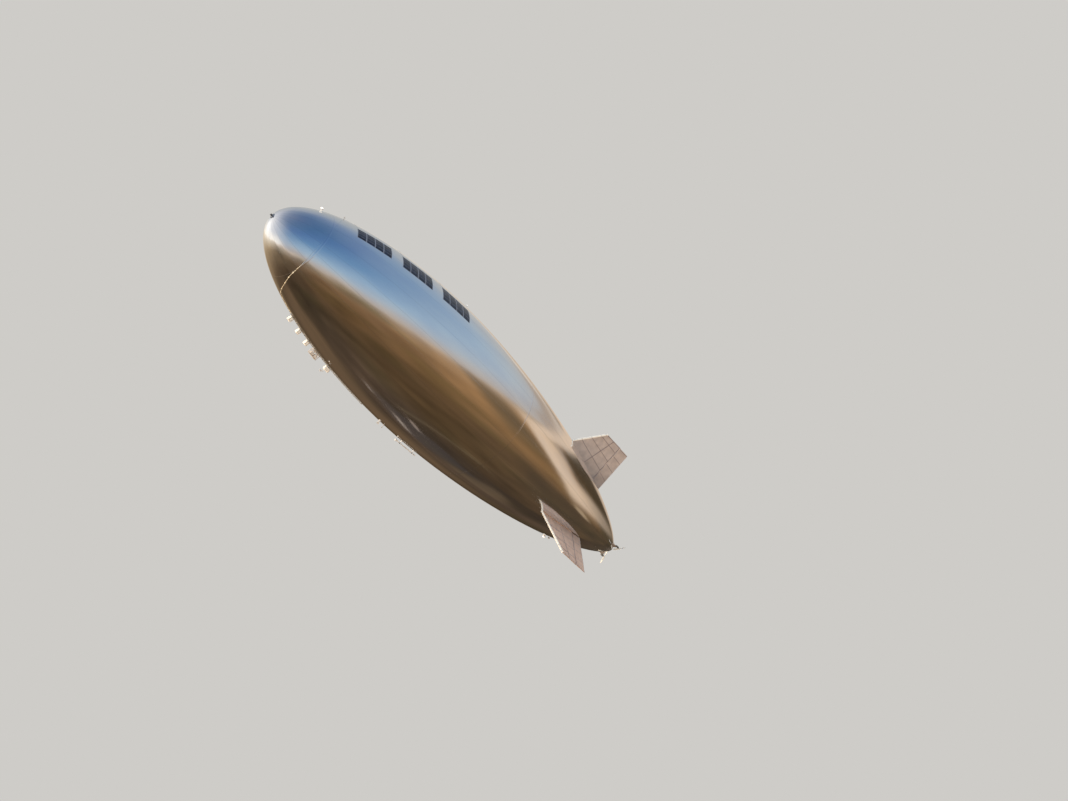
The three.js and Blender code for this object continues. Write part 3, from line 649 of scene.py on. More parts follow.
# Fins and rudders
FIN_ANGLES = {"top": 0, "port": 120, "starboard": -120}
FIN_ROOT_LEADING = 47.9
FIN_TIP_LEADING = 51.7
FIN_TRAILING = 56.5
FIN_TIP_RADIUS = 10.25
FIN_HALF_THICKNESS = 0.0325
FIN_EDGE_RADIUS = 0.065
HINGE_STATION = 54.75
FIN_REAR = HINGE_STATION - 0.11
RUDDER_ROOT_GAP = 0.12
RUDDER_NOSE = 0.0295
RUDDER_TAIL = 0.0075
RIB_SHARES = (0.30, 0.57, 0.83)
RUDDER_RIBS = (0.25, 0.5, 0.75)
SPAR_ROOT = 51.7
SPAR_TIP = 53.2


def real_radius(station):
    return float(hull_radius(station)) / SCALE


def leading_station(radius):
    """Station of the fin's leading edge at a real radius."""
    low = real_radius(FIN_ROOT_LEADING)
    return FIN_ROOT_LEADING + (radius - low) / (FIN_TIP_RADIUS - low) * (FIN_TIP_LEADING - FIN_ROOT_LEADING)


def fin_point(share, chord):
    """Real station and radius for a share of the span and of the chord."""
    root = FIN_ROOT_LEADING + chord * (FIN_REAR - FIN_ROOT_LEADING)
    tip = FIN_TIP_LEADING + chord * (FIN_REAR - FIN_TIP_LEADING)
    low = real_radius(root) - 0.06
    return root + share * (tip - root), low + share * (FIN_TIP_RADIUS - low)


def fin_place(station, radius, y=0.0):
    """A point of the standing fin, from its real station and radius."""
    return float(x_of(station)), y, radius * SCALE


def bulge(position, lines):
    """0 on each line and 1 midway between two of them."""
    edges = [0.0, *lines, 1.0]
    for a, b in zip(edges, edges[1:]):
        if a <= position <= b:
            return max(0.0, math.sin(math.pi * (position - a) / (b - a))) ** 0.6
    return 0.0


def fin_panel():
    """Both faces of the fin's cover, drawn tight over its ribs and spars."""
    shares = np.unique(np.concatenate([np.linspace(0, 1, 41), RIB_SHARES]))
    rows = []
    for share in shares:
        spar = SPAR_ROOT + share * (SPAR_TIP - SPAR_ROOT)
        front = FIN_ROOT_LEADING + share * (FIN_TIP_LEADING - FIN_ROOT_LEADING)
        spar_chord = min(max((spar - front) / (FIN_REAR - front), 0.05), 0.95)
        row = []
        for chord in np.linspace(0, 1, 41):
            sag = bulge(share, RIB_SHARES) * bulge(chord, (spar_chord,))
            row.append(fin_place(*fin_point(share, chord), FIN_HALF_THICKNESS - 0.010 * sag - 0.004))
        rows.append(row)
    outer = np.array(rows)
    return outer, outer * (1, -1, 1)


def spar_path(start, end, side):
    """Points along a line on the fin's face, from one (station, radius) to another."""
    return [fin_place(*point, side * (FIN_HALF_THICKNESS - 0.003)) for point in np.linspace(start, end, 8)]


def strip(shape, path, width, thickness, side):
    """A flat tape of a given width along a path on a fin's face."""
    path = np.array(path)
    ahead = path[-1] - path[0]
    ahead /= np.linalg.norm(ahead)
    across = np.cross(ahead, (0, 1, 0)) * width / 2
    out = np.array((0, side * thickness, 0))
    back = np.array((0, -side * 0.004, 0))
    shape.sheet(*(np.stack([path - across + way, path + across + way], 1) for way in (out, back)), 1)


def make_fin(side, angle):
    # The lower fins take the warmer cloth, with its painted warm light.
    cover = CLOTH if side == "top" else WARM_LIT_LOWER_CLOTH
    turn = turned(-angle, "X")
    s = Shape(turn)
    s.sheet(*fin_panel())
    spar_top = FIN_TIP_RADIUS - 0.02
    rear_spar = FIN_REAR - 0.05
    for face in (1, -1):
        for share in (*RIB_SHARES, 0.985):
            strip(s, spar_path(fin_point(share, 0.03), fin_point(share, 1.0), face), 0.030, 0.0016, face)
        spar = spar_path((SPAR_ROOT, real_radius(SPAR_ROOT) - 0.05), (SPAR_TIP, spar_top), face)
        strip(s, spar, 0.045, 0.002, face)
        spar = spar_path((rear_spar, real_radius(FIN_REAR) - 0.05), (rear_spar, spar_top), face)
        strip(s, spar, 0.040, 0.002, face)
    # Root tapes, which seal the cover to the hull
    stations = np.linspace(FIN_ROOT_LEADING + 0.1, FIN_REAR, 40)[:, None]
    offsets = FIN_HALF_THICKNESS + np.array([-0.006, 0.0, 0.02, 0.055])[None, :]
    heights = np.array([0.03, 0.012, 0.003, 0.0006])[None, :]
    for face in (1, -1):
        degrees = np.degrees(face * offsets / hull_radius(stations))
        s.sheet(on_hull(stations, degrees, heights), on_hull(stations, degrees, SUNK))
    # Tip batten and hinge lugs
    tip = FIN_TIP_RADIUS * SCALE - 0.012
    s.tube([(float(x_of(v)), 0, tip) for v in (FIN_TIP_LEADING + 0.1, FIN_REAR - 0.02)], 0.018, 2)
    rod_low = (real_radius(HINGE_STATION) + RUDDER_ROOT_GAP - 0.026) * SCALE
    rod_high = FIN_TIP_RADIUS * SCALE - 0.007
    hinge = float(x_of(HINGE_STATION))
    for height in (rod_low, rod_high):
        s.block((0.08, 0.04, 0.013), (hinge + 0.027, 0, height), 0.004, 2)
        s.lathe([(-0.0068, 0.0195), (0.0068, 0.0195)], 2, 20, at(hinge, 0, height) @ turned(90, "Y"))
    s.tube([(hinge, 0, rod_low), (hinge, 0, rod_high)], 0.0105, 3)
    s.piece(f"{side}_fin_cover", "hull", [cover, CLOTH_TAPE, WHITE, METAL], "cloth", [f"{side}_fin"])
    make_edge_tube(side, turn)
    make_rudder(side, turn, cover)


def make_edge_tube(side, turn):
    """The leading edge's tube, with an end plug and collars."""
    s = Shape(turn)
    foot_radius = real_radius(FIN_ROOT_LEADING) - 0.3
    foot = Vector(fin_place(leading_station(foot_radius), foot_radius))
    tip = Vector(fin_place(FIN_TIP_LEADING, FIN_TIP_RADIUS))
    s.tube([foot, tip], FIN_EDGE_RADIUS - 0.001, 0, 28)
    ahead = (tip - foot).normalized()
    length = (tip - foot).length
    for share in (*RIB_SHARES, 0.97):
        centre = foot + ahead * length * (0.08 + 0.9 * share)
        s.tube([centre - ahead * 0.02, centre + ahead * 0.02], FIN_EDGE_RADIUS + 0.003, 1, 28)
    s.tube([tip - ahead * 0.02, tip - ahead * 0.001], [FIN_EDGE_RADIUS * 0.8, FIN_EDGE_RADIUS * 0.5], 1, 28)
    s.piece(f"{side}_fin_leading_tube", "hull", [CREAM, COMPOSITE], "white", [f"{side}_fin_edge_tube"])


def make_rudder(side, turn, cover):
    """A wedge-shaped cover over five ribs, with a rounded nose round the hinge rod."""
    s = Shape(turn)
    hinge = float(x_of(HINGE_STATION))
    root_front = real_radius(HINGE_STATION) + RUDDER_ROOT_GAP
    root_rear = real_radius(FIN_TRAILING) + RUDDER_ROOT_GAP
    top = FIN_TIP_RADIUS * SCALE - 0.020
    trailing = float(x_of(FIN_TRAILING))
    flat = hinge - 0.06

    def rudder_point(share, column):
        x = hinge + (trailing - hinge) * column
        fall = 0.0 if x > flat else (flat - x) / (flat - trailing)
        low = (root_front + fall * (root_rear - root_front)) * SCALE
        return np.array((x, RUDDER_NOSE + (RUDDER_TAIL - RUDDER_NOSE) * column, low + share * (top - low)))

    rows = []
    for share in np.linspace(0, 1, 33):
        row = []
        for column in np.linspace(0, 1, 25) ** 1.2:
            sag = 0.006 * bulge(share, RUDDER_RIBS) * math.sin(math.pi * column)
            row.append(rudder_point(share, column) - (0, sag, 0))
        rows.append(row)
    outer = np.array(rows)
    s.sheet(outer, outer * (1, -1, 1))
    turns = np.linspace(-math.pi / 2, math.pi / 2, 17)
    s.grid(np.array([
        [(hinge + RUDDER_NOSE * math.cos(a), RUDDER_NOSE * math.sin(a), z) for a in turns]
        for z in (root_front * SCALE + 0.0005, top - 0.0005)
    ]))
    for face in (1, -1):
        for share in (0.02, *RUDDER_RIBS, 0.98):
            rib = [rudder_point(share, column) * (1, face, 1) for column in (0.02, 0.35, 0.7, 0.985)]
            strip(s, rib, 0.030, 0.0016, face)
    s.tube([(trailing + 0.012, 0, root_rear * SCALE + 0.004), (trailing + 0.012, 0, top - 0.002)], 0.0105, 2)
    s.piece(f"{side}_rudder_cover", f"{side}_rudder", [cover, CLOTH_TAPE, WHITE], "cloth", [f"{side}_rudder"])


# Parts shared by the fittings
def collar(middle, half, low, high, chamfer=0.002):
    """Profile of a raised band round a shaft."""
    edge = half - chamfer
    return [(middle - half, low), (middle - edge, high), (middle + edge, high), (middle + half, low)]


def arc(radius, first, last, steps, centre=0.0):
    """Profile of a round end, from one angle to another in degrees."""
    turns = np.radians(np.linspace(first, last, steps))
    return [(centre + radius * math.cos(a), radius * math.sin(a)) for a in turns]


def ring_places(count, radius, start=0.0, x=0.0):
    """Places at equal angles round local X."""
    turns = [math.radians(start + 360 * k / count) for k in range(count)]
    return [at(x, radius * math.sin(a), radius * math.cos(a)) for a in turns]


def pad(shape, station, degrees, long, wide, thick):
    """A thin plate that follows the hull, with rounded corners and a soft edge."""
    turn = np.arange(32) / 32 * 2 * math.pi
    c, q = np.cos(turn), np.sin(turn)
    along = np.sign(c) * np.abs(c) ** 0.4 * long / 2
    across = np.sign(q) * np.abs(q) ** 0.4 * wide / 2
    stretch = math.hypot(1, float(hull_slope(station))) * SCALE
    around = np.degrees(across / hull_radius(station))
    edge = ((0.02, 1.0), (0.5, 1.0), (0.94, 1.0), (0.985, 0.8), (1.0, 0.45), (1.0, SUNK / thick))
    points = np.array([
        on_hull(station - share * along / stretch, degrees + share * around, thick * out)
        for share, out in edge
    ])
    shape.grid(points, wrap=True)
    shape.add(points[0], [tuple(range(32))])


def bolt(shape, place, x, y, z, radius, height, slot=1, down=False):
    """A hexagonal head that stands on a face square to local Z."""
    way = -1 if down else 1
    head = [(-0.002 * way, radius), (height * 0.6 * way, radius), (height * way, radius * 0.6)]
    shape.upright(head, slot, 6, place @ at(x, y, z))


def corner_bolts(shape, place, half_x, half_y, z, radius, height, **settings):
    for side_x in (-1, 1):
        for side_y in (-1, 1):
            bolt(shape, place, side_x * half_x, side_y * half_y, z, radius, height, **settings)


def rail_grips(shape, half_x, slot):
    """Two bent rods that hold a saddle up against the rail."""
    rail = RAIL_DEPTH * SCALE
    reach = RAIL_RADIUS * SCALE + 0.0035
    for x in (-half_x, half_x):
        bend = [(x, y, rail - z) for y, z in arc(reach, 0, 180, 13)]
        ends = [[(x, y, rail + z) for z in (0.031, 0.012)] for y in (reach, -reach)]
        shape.tube([*ends[0], *bend, *ends[1][::-1]], 0.0028, slot, 8)
        for y in (-reach, reach):
            bolt(shape, FLAT, x, y, rail + 0.026, 0.0065, 0.006, slot)


def saddle(shape, half_x, high, slot, grip):
    """A block under the rail that carries a box."""
    edge = (UNDER_RAIL - 0.001, half_x - 0.002, 0.043, 0.006)
    shape.stack([edge, (UNDER_RAIL + 0.001, half_x, 0.045, 0.007), (high, half_x, 0.045, 0.007)], slot)
    rail_grips(shape, grip, slot)


# Nose spindle
def make_spindle():
    s = Shape(at(float(x_of(NOSE_STATION)) + 0.0013, 0, 0))
    s.lathe([
        (-0.0012, 0.147), (0.0, 0.149), (0.003, 0.150), (0.016, 0.150), (0.0195, 0.147), (0.020, 0.144),
        (0.020, 0.103), (0.0225, 0.096), (0.030, 0.080), (0.040, 0.0665),
    ], 1, 48)
    s.lathe([
        (0.038, 0.064), (0.040, 0.0665), (0.050, 0.0585), (0.057, 0.0552), (0.078, 0.055),
        (0.080, 0.051), (0.092, 0.051), (0.094, 0.055), (0.1375, 0.055), (0.140, 0.0525),
    ], 0, 48)
    for place in ring_places(12, 0.123):
        s.lathe([(0.018, 0.0088), (0.0265, 0.0088), (0.029, 0.0062)], 1, 6, place)
        s.lathe([(0.019, 0.0125), (0.0215, 0.0122)], 1, 16, place)
    rib = [(0.019, 0.112), (0.019, 0.060), (0.052, 0.050), (0.062, 0.054)]
    verts = [(x, y, r) for y in (-0.004, 0.004) for x, r in rib]
    faces = [(0, 1, 2, 3), (7, 6, 5, 4), (0, 4, 5, 1), (1, 5, 6, 2), (2, 6, 7, 3), (3, 7, 4, 0)]
    for degrees in (45, 135, 225, 315):
        s.add(verts, faces, 1, turned(degrees, "X"))
    s.piece("mooring_spindle", "hull", [MAST, METAL], "dark", ["nose_mooring_spindle"])


# Belly rail and what hangs on it
RAIL_DEPTH = 0.07
RAIL_RADIUS = 0.035
RAIL_FROM = 8.75
RAIL_TO = 22.6
POST_STATIONS = (8.9, 10.15, 11.75, 13.15, 15.2, 17.6, 20.0, 22.4)
CONDUIT_DEPTH = 0.026
CONDUIT_OFFSET = -0.033
BATTERY_STATIONS = {"front": 9.31, "middle": 10.96, "rear": 12.53}
UNDER_RAIL = (RAIL_DEPTH + RAIL_RADIUS) * SCALE + 0.002
FRAME_STATION = 14.1
POD_STATION = 16.4


def make_rail():
    s = Shape()
    depth = RAIL_DEPTH * SCALE
    radius = RAIL_RADIUS * SCALE
    path = on_hull(np.linspace(RAIL_FROM, RAIL_TO, 90), 180.0, depth)
    s.tube(path, [radius * 0.86, *[radius] * 88, radius * 0.86], 0, 20)
    stations = np.linspace(RAIL_FROM + 0.12, RAIL_TO - 0.12, 90)
    beside = Vector((0, CONDUIT_OFFSET, 0))
    s.tube([hull_frame(station, 180.0, CONDUIT_DEPTH) @ beside for station in stations], 0.0055, 2, 10)
    for station in POST_STATIONS:
        pad(s, station, 180.0, 0.14, 0.11, 0.0072)
        here = hull_frame(station, 180.0)
        post = [(0.004, 0.031), (0.010, 0.029), (0.018, 0.0185), (0.024, 0.0155), (0.036, 0.015)]
        s.upright(post, 0, 20, here)
        s.lathe(collar(0, 0.018, 0.0186, 0.0200), 1, 20, here @ at(0, 0, depth))
        corner_bolts(s, here, 0.052, 0.038, 0.0070, 0.0062, 0.0045)
    for station in np.arange(RAIL_FROM + 0.5, RAIL_TO, 0.6):
        here = hull_frame(float(station), 180.0)
        s.block((0.012, 0.020, 0.004), (0, -0.024, CONDUIT_DEPTH), 0.001, 1, 1, here)
        s.lathe([(-0.006, 0.0068), (0.006, 0.0068)], 1, 12, here @ at(0, CONDUIT_OFFSET, CONDUIT_DEPTH))
    s.piece("equipment_rail", "hull", [COMPOSITE, METAL, STRAP], "composite", ["belly_rail"])


def make_battery(name, station):
    s = Shape(hull_frame(station, 180.0))
    top = UNDER_RAIL + 0.010
    # Body, gasket and lid
    s.stack([
        (top, 0.096, 0.126, 0.012), (top + 0.0035, 0.1035, 0.1335, 0.016),
        (top + 0.010, 0.106, 0.136, 0.017), (top + 0.190, 0.106, 0.136, 0.017),
        (top + 0.192, 0.1085, 0.1385, 0.018), (top + 0.199, 0.1085, 0.1385, 0.018),
    ])
    s.stack([(top + 0.198, 0.1065, 0.1365, 0.017), (top + 0.203, 0.1065, 0.1365, 0.017)], 2)
    s.stack([
        (top + 0.202, 0.1085, 0.1385, 0.018), (top + 0.204, 0.110, 0.140, 0.019),
        (top + 0.238, 0.110, 0.140, 0.019), (top + 0.250, 0.1075, 0.1375, 0.022),
        (top + 0.2565, 0.101, 0.131, 0.022), (top + 0.257, 0.094, 0.124, 0.020),
    ])
    # Raised panels on the body's four sides, ribs on the lid
    for side in (-1, 1):
        s.block((0.150, 0.004, 0.120), (0, side * 0.1365, top + 0.095), 0.0018)
        s.block((0.004, 0.200, 0.120), (side * 0.1065, 0, top + 0.095), 0.0018)
    for x in (-0.06, -0.02, 0.02, 0.06):
        s.block((0.012, 0.200, 0.004), (x, 0, top + 0.2575), 0.0018)
    # Straps with buckles
    for x in (-0.060, 0.060):
        for side in (-1, 1):
            s.block((0.022, 0.0030, 0.238), (x, side * 0.1412, top + 0.126), 0.0012, 1)
            s.block((0.030, 0.0060, 0.030), (x, side * 0.1430, top + 0.150), 0.002, 3)
            s.block((0.034, 0.0040, 0.008), (x, side * 0.1452, top + 0.156), 0.0015, 3)
        s.block((0.022, 0.236, 0.0024), (x, 0, top + 0.2590), 0.001, 1)
        s.block((0.022, 0.240, 0.0024), (x, 0, top - 0.0006), 0.001, 1)
    # Latches, corner bumpers, glands and a breather
    for side in (-1, 1):
        s.block((0.026, 0.006, 0.034), (0, side * 0.1415, top + 0.200), 0.002, 3)
        for other in (-1, 1):
            bumper = at(side * 0.094, other * 0.124, top + 0.250)
            s.upright([(0.0, 0.0105), (0.0075, 0.0105), (0.0100, 0.0080)], 2, 16, bumper)
    gland = [(0.002, 0.0135), (-0.005, 0.0135), (-0.0055, 0.0105), (-0.0125, 0.0105), (-0.0135, 0.009)]
    for y in (-0.045, 0.0, 0.045):
        s.lathe(gland, 3, 18, at(-0.106, y, top + 0.036))
    s.lathe([(0.0, 0.011), (0.0035, 0.0105), (0.0045, 0.006)], 2, 16, at(0.1085, 0, top + 0.165))
    saddle(s, 0.055, top + 0.002, 3, 0.040)
    corner_bolts(s, FLAT, 0.046, 0.038, UNDER_RAIL, 0.005, 0.004, slot=3, down=True)
    materials = [CREAM, STRAP, DARK, COMPOSITE]
    case = s.piece(f"{name}_battery_case", "hull", materials, "white", [f"{name}_battery_box"])
    case.visible_glossy = False


def gusset(shape, x, z, leg_x, leg_z, y):
    """A triangular plate in a corner of the frame."""
    corners = [(x, z), (x + leg_x, z), (x, z + leg_z)]
    verts = [(a, y + o, b) for o in (-0.0015, 0.0015) for a, b in corners]
    shape.add(verts, [(0, 1, 2), (5, 4, 3), (0, 3, 4, 1), (1, 4, 5, 2), (2, 5, 3, 0)], 1)


FRAME_LENGTH = 0.55
FRAME_WIDTH = 0.35
FRAME_HEIGHT = 0.31
FRAME_BAR = 0.026
BRACE_RADIUS = 0.0055


def make_frame():
    s = Shape(hull_frame(FRAME_STATION, 180.0))
    long, wide, bar = FRAME_LENGTH, FRAME_WIDTH, FRAME_BAR
    top = UNDER_RAIL + 0.012
    low = top + FRAME_HEIGHT
    inner = wide / 2 - bar
    ends = [end * (long - bar) / 2 for end in (-1, 0, 1)]
    for side in (-1, 1):
        y = side * (wide - bar) / 2
        for z in (top + bar / 2, low - bar / 2):
            s.block((long, bar, bar), (0, y, z), 0.003)
        for x in ends:
            s.block((bar, bar, FRAME_HEIGHT - 2 * bar + 0.004), (x, y, (top + low) / 2), 0.003)
        face = y + side * (bar / 2 + 0.0012)
        for x in ends:
            for way in (-1, 1):
                if abs(x + way * 0.05) <= long / 2:
                    gusset(s, x + way * bar / 2, top + bar, way * 0.045, 0.045, face)
                    gusset(s, x + way * bar / 2, low - bar, way * 0.045, -0.045, face)
            for z in (top + bar / 2, low - bar / 2):
                for dx in (-0.007, 0.007):
                    rivet = at(x + dx, y + side * bar / 2, z) @ turned(side * 90, "Z")
                    s.lathe([(0, 0.0036), (0.003, 0.0033)], 1, 10, rivet)
        # Diagonal braces, crossing in each bay
        for bay in (-1, 1):
            near, far = bay * bar, bay * (long / 2 - bar)
            s.tube([(near, y, top + bar), (far, y, low - bar)], BRACE_RADIUS, 1, 10)
            y_in = y - side * 0.012
            s.tube([(far, y_in, top + bar), (near, y_in, low - bar)], BRACE_RADIUS, 1, 10)
    for x in ends:
        s.block((bar, wide - 2 * bar + 0.004, bar), (x, 0, top + bar / 2), 0.003)
    for end in (-1, 1):
        x = end * (long - bar) / 2
        s.tube([(x, -inner, top + bar), (x, inner, low - bar)], BRACE_RADIUS, 1, 10)
        x -= end * 0.012
        s.tube([(x, inner, top + bar), (x, -inner, low - bar)], BRACE_RADIUS, 1, 10)
    # Floor with bolts, and the saddle
    half_x, half_y = long / 2, wide / 2
    s.stack([(low - 0.012, half_x - 0.001, half_y - 0.001, 0.006), (low - 0.011, half_x, half_y, 0.007),
             (low - 0.001, half_x, half_y, 0.007), (low, half_x - 0.001, half_y - 0.001, 0.006)])
    for x in np.linspace(-0.225, 0.225, 6):
        for y in (-0.115, 0.115):
            bolt(s, FLAT, float(x), y, low - 0.012, 0.006, 0.005, down=True)
    s.stack([(top - 0.012, 0.081, 0.043, 0.006), (top - 0.010, 0.0825, 0.045, 0.007),
             (top + 0.002, 0.0825, 0.045, 0.007)], 1)
    rail_grips(s, 0.066, 1)
    # Two instrument packages in soft covers, strapped to the floor
    for x, half_x, half_y, tall in ((-0.125, 0.11, 0.12, 0.2), (0.125, 0.1, 0.11, 0.17)):
        s.stack([
            (low - tall, half_x * 0.86, half_y * 0.86, 0.03), (low - tall + 0.02, half_x, half_y, 0.04),
            (low - tall * 0.45, half_x * 1.02, half_y * 1.02, 0.045), (low - 0.012, half_x, half_y, 0.04),
        ], 2, at(x, 0, 0))
    truss = s.piece("payload_truss", "hull", [TAN, COMPOSITE, WRAP], "composite", ["payload_frame"])
    truss.visible_glossy = False


def make_pod():
    here = hull_frame(POD_STATION, 180.0)
    s = Shape(here)
    top = UNDER_RAIL + 0.010
    bottom = top + 0.230
    rows = []
    for k in range(9):
        a = math.pi / 2 * k / 8
        inset = 0.034 * (1 - math.sin(a))
        rows.append((top + 0.034 * (1 - math.cos(a)), 0.180 - inset, 0.125 - inset, 0.048 - inset * 0.6))
    low = [(top + bottom - z, *sizes) for z, *sizes in rows[::-1]]
    s.stack([*rows, (top + 0.1085, 0.180, 0.125, 0.048), (top + 0.110, 0.1785, 0.1235, 0.047)], 0, steps=8)
    s.stack([(top + 0.109, 0.1775, 0.1225, 0.046), (top + 0.116, 0.1775, 0.1225, 0.046)], 2, steps=8)
    s.stack([(top + 0.115, 0.1785, 0.1235, 0.047), (top + 0.1165, 0.180, 0.125, 0.048), *low], 0, steps=8)
    # Latches and louvred vents on both sides, glands at the back
    for side in (-1, 1):
        for x in (-0.10, 0.0, 0.10):
            s.block((0.020, 0.005, 0.030), (x, side * 0.1262, top + 0.112), 0.0018, 1)
        s.block((0.110, 0.003, 0.050), (0.03, side * 0.1255, top + 0.170), 0.0012)
        for k in range(4):
            s.block((0.090, 0.0035, 0.004), (0.03, side * 0.1268, top + 0.157 + 0.009 * k), 0.0012, 2)
    gland = [(0.004, 0.016), (-0.005, 0.016), (-0.006, 0.012), (-0.014, 0.012), (-0.015, 0.010)]
    for y in (-0.05, 0.05):
        s.lathe(gland, 1, 18, at(-0.180, y, top + 0.080))
    saddle(s, 0.060, top + 0.006, 1, 0.044)
    case = s.piece("payload_pod_case", "hull", [CREAM, COMPOSITE, DARK], "white", ["payload_pod"])
    case.visible_glossy = False

    # Sensor on its bent arm
    s = Shape(here)
    foot = at(0.04, 0, bottom)
    s.stack([(0.0003, 0.034, 0.034, 0.010), (0.002, 0.035, 0.035, 0.011), (0.010, 0.035, 0.035, 0.011),
             (0.0123, 0.033, 0.033, 0.010)], 0, foot)
    corner_bolts(s, foot, 0.025, 0.025, 0.0118, 0.0048, 0.004)
    elbow = Vector((0.04, 0, bottom + 0.120))
    tip = Vector((0.185, 0, bottom + 0.195))
    s.upright([(0.010, 0.025), (0.018, 0.0235), (0.028, 0.0178), (0.108, 0.0172)], 0, 24, foot)
    s.upright(collar(-0.023, 0.009, 0.0176, 0.0208), 1, 24, at(*elbow))
    s.ball(0.0205, elbow, 0, 14, 24)
    ahead = (tip - elbow).normalized()
    s.tube([elbow, tip - ahead * 0.045], 0.0168, 0, 20)
    s.tube([elbow + ahead * 0.026, elbow + ahead * 0.040], 0.0206, 1, 24)
    turn = at(*tip) @ turned(-math.degrees(math.atan2(ahead.z, ahead.x)), "Y")
    s.lathe([(-0.066, 0.018), (-0.062, 0.027), (-0.050, 0.0385)], 1, 28, turn)
    s.lathe(arc(0.062, 173.4, 21.6, 24), 0, 36, turn)
    s.lathe(collar(0, 0.004, 0.0615, 0.0632, 0.001), 1, 36, turn)
    s.lathe([(0.052, 0.034), (0.0575, 0.0315), (0.0590, 0.0275), (0.0560, 0.0255)], 1, 32, turn)
    s.lathe([(0.050, 0.026), (0.0572, 0.0245), (0.0590, 0.016), (0.0597, 0.006)], 2, 32, turn)
    s.piece("sensor_turret", "hull", [WHITE, METAL, GLASS], "white", ["sensor_arm"])


# Boom on two struts
BOOM_FROM = 28.95
BOOM_TO = 32.35
BOOM_DEPTH = 0.36
BOOM_STRUTS = (29.65, 31.75)
BOOM_RADIUS = 0.0272
BULB_RADIUS = 0.070


def make_boom():
    s = Shape()
    depth = BOOM_DEPTH * SCALE
    front, rear = (Vector(on_hull(station, 180.0, depth)) for station in (BOOM_FROM, BOOM_TO))
    along = (front - rear).normalized()
    length = (front - rear).length
    turn = at(*front) @ along.to_track_quat("X", "Z").to_matrix().to_4x4()
    neck = [(-0.080, 0.046), (-0.110, 0.036), (-0.140, 0.0305), (-0.160, 0.0290), (-0.162, BOOM_RADIUS)]
    s.lathe(arc(BULB_RADIUS, 7.5, 135, 18) + neck, 0, 36, turn)
    s.lathe(collar(0, 0.003, BULB_RADIUS, 0.0712, 0.001), 1, 36, turn)
    tail = [(-length + 0.030, BOOM_RADIUS), (-length + 0.010, 0.0225), (-length, 0.0110)]
    s.lathe([(-0.150, BOOM_RADIUS), *tail], 0, 28, turn)
    for x in (-0.30, -length / 2, -length + 0.10):
        s.lathe(collar(x, 0.012, BOOM_RADIUS, 0.0292), 1, 28, turn)
    for station in BOOM_STRUTS:
        pad(s, station, 180.0, 0.15, 0.12, 0.0072)
        here = hull_frame(station, 180.0)
        strut = [(0.004, 0.040), (0.010, 0.037), (0.026, 0.0215), (0.040, 0.0175), (depth, 0.0160)]
        s.upright(strut, 0, 24, here)
        socket = [(-0.046, 0.0168), (-0.044, 0.0200), (-0.030, 0.0210), (-0.020, 0.0250)]
        s.upright([(depth + z, radius) for z, radius in socket], 1, 24, here)
        corner_bolts(s, here, 0.056, 0.043, 0.0070, 0.0062, 0.0045)
        x = -float((front - Vector(on_hull(station, 180.0, depth))).dot(along))
        s.lathe(collar(x, 0.030, 0.0280, 0.0316, 0.003), 1, 28, turn)
    s.piece("aft_boom_tube", "hull", [WHITE, METAL], "white", ["aft_boom"])


# Small fittings on the top and belly lines
ANTENNA_STATION = 5.9
CAMERA_STATION = 25.7
DOME_STATION = 26.45
VENT_STATION = 55.6
# Node, name, station, roll angle, reach, stem radius, lamp radius and foot size
LAMPS = (
    ("nose_light", "nose_light_lamp", 3.45, 0.0, 0.13, 0.022, 0.080, 0.15),
    ("top_beacon", "top_beacon_lamp", 23.9, 0.0, 0.12, 0.016, 0.044, 0.12),
    ("tail_lamp", "tail_lamp_unit", 54.8, 180.0, 0.15, 0.026, 0.095, 0.17),
)


def start_fitting(station, degrees, foot, stem, reach):
    """A pad on the hull with a flared stem, in a shape whose place is there."""
    s = Shape()
    pad(s, station, degrees, foot, foot, 0.0052)
    s.place = hull_frame(station, degrees)
    flare = ((0.003, 1.9), (0.008, 1.8), (0.018, 1.15), (0.026, 1.0), (reach, 0.96))
    s.upright([(z, stem * wide) for z, wide in flare], 0, 20)
    corner_bolts(s, FLAT, foot * 0.36, foot * 0.36, 0.0050, 0.005, 0.004)
    return s


def lamp_head(s, z, radius):
    """A housing with a ring, six screws and a clear dome."""
    housing = ((-0.98, 0.35), (-0.80, 0.62), (-0.45, 0.90), (-0.10, 0.99))
    ring = ((-0.16, 0.98), (-0.14, 1.03), (0.02, 1.03), (0.04, 0.97))
    turns = np.linspace(0, math.pi / 2, 13)
    dome = [(0.02 + 0.98 * math.sin(a), max(0.96 * math.cos(a), 0.0008 / radius)) for a in turns]
    for slot, profile in enumerate((housing, ring, dome)):
        s.upright([(z + radius * height, radius * wide) for height, wide in profile], slot, 32)
    for k in range(6):
        a = math.radians(60 * k + 30)
        centre = (0.99 * math.cos(a), 0.99 * math.sin(a), z / radius - 0.28)
        s.ball(radius * 0.05, radius * Vector(centre), 1, 6, 10)


def make_lamps():
    for node, name, station, degrees, reach, stem, radius, foot in LAMPS:
        s = start_fitting(station, degrees, foot, stem, reach)
        lamp_head(s, reach, radius)
        s.piece(name, "hull", [WHITE, METAL, LAMP], "white", [node])


def make_top_antenna():
    s = start_fitting(ANTENNA_STATION, 0.0, 0.09, 0.012, 0.07)
    s.stack([(0.062, 0.030, 0.012, 0.008), (0.066, 0.044, 0.0148, 0.012), (0.090, 0.0448, 0.015, 0.013),
             (0.112, 0.040, 0.0125, 0.011), (0.130, 0.030, 0.009, 0.008), (0.135, 0.020, 0.005, 0.0045)])
    s.stack([(0.0695, 0.0452, 0.0156, 0.013), (0.0735, 0.0452, 0.0156, 0.013)], 1)
    s.piece("top_antenna_blade", "hull", [COMPOSITE, METAL], "composite", ["top_antenna"])


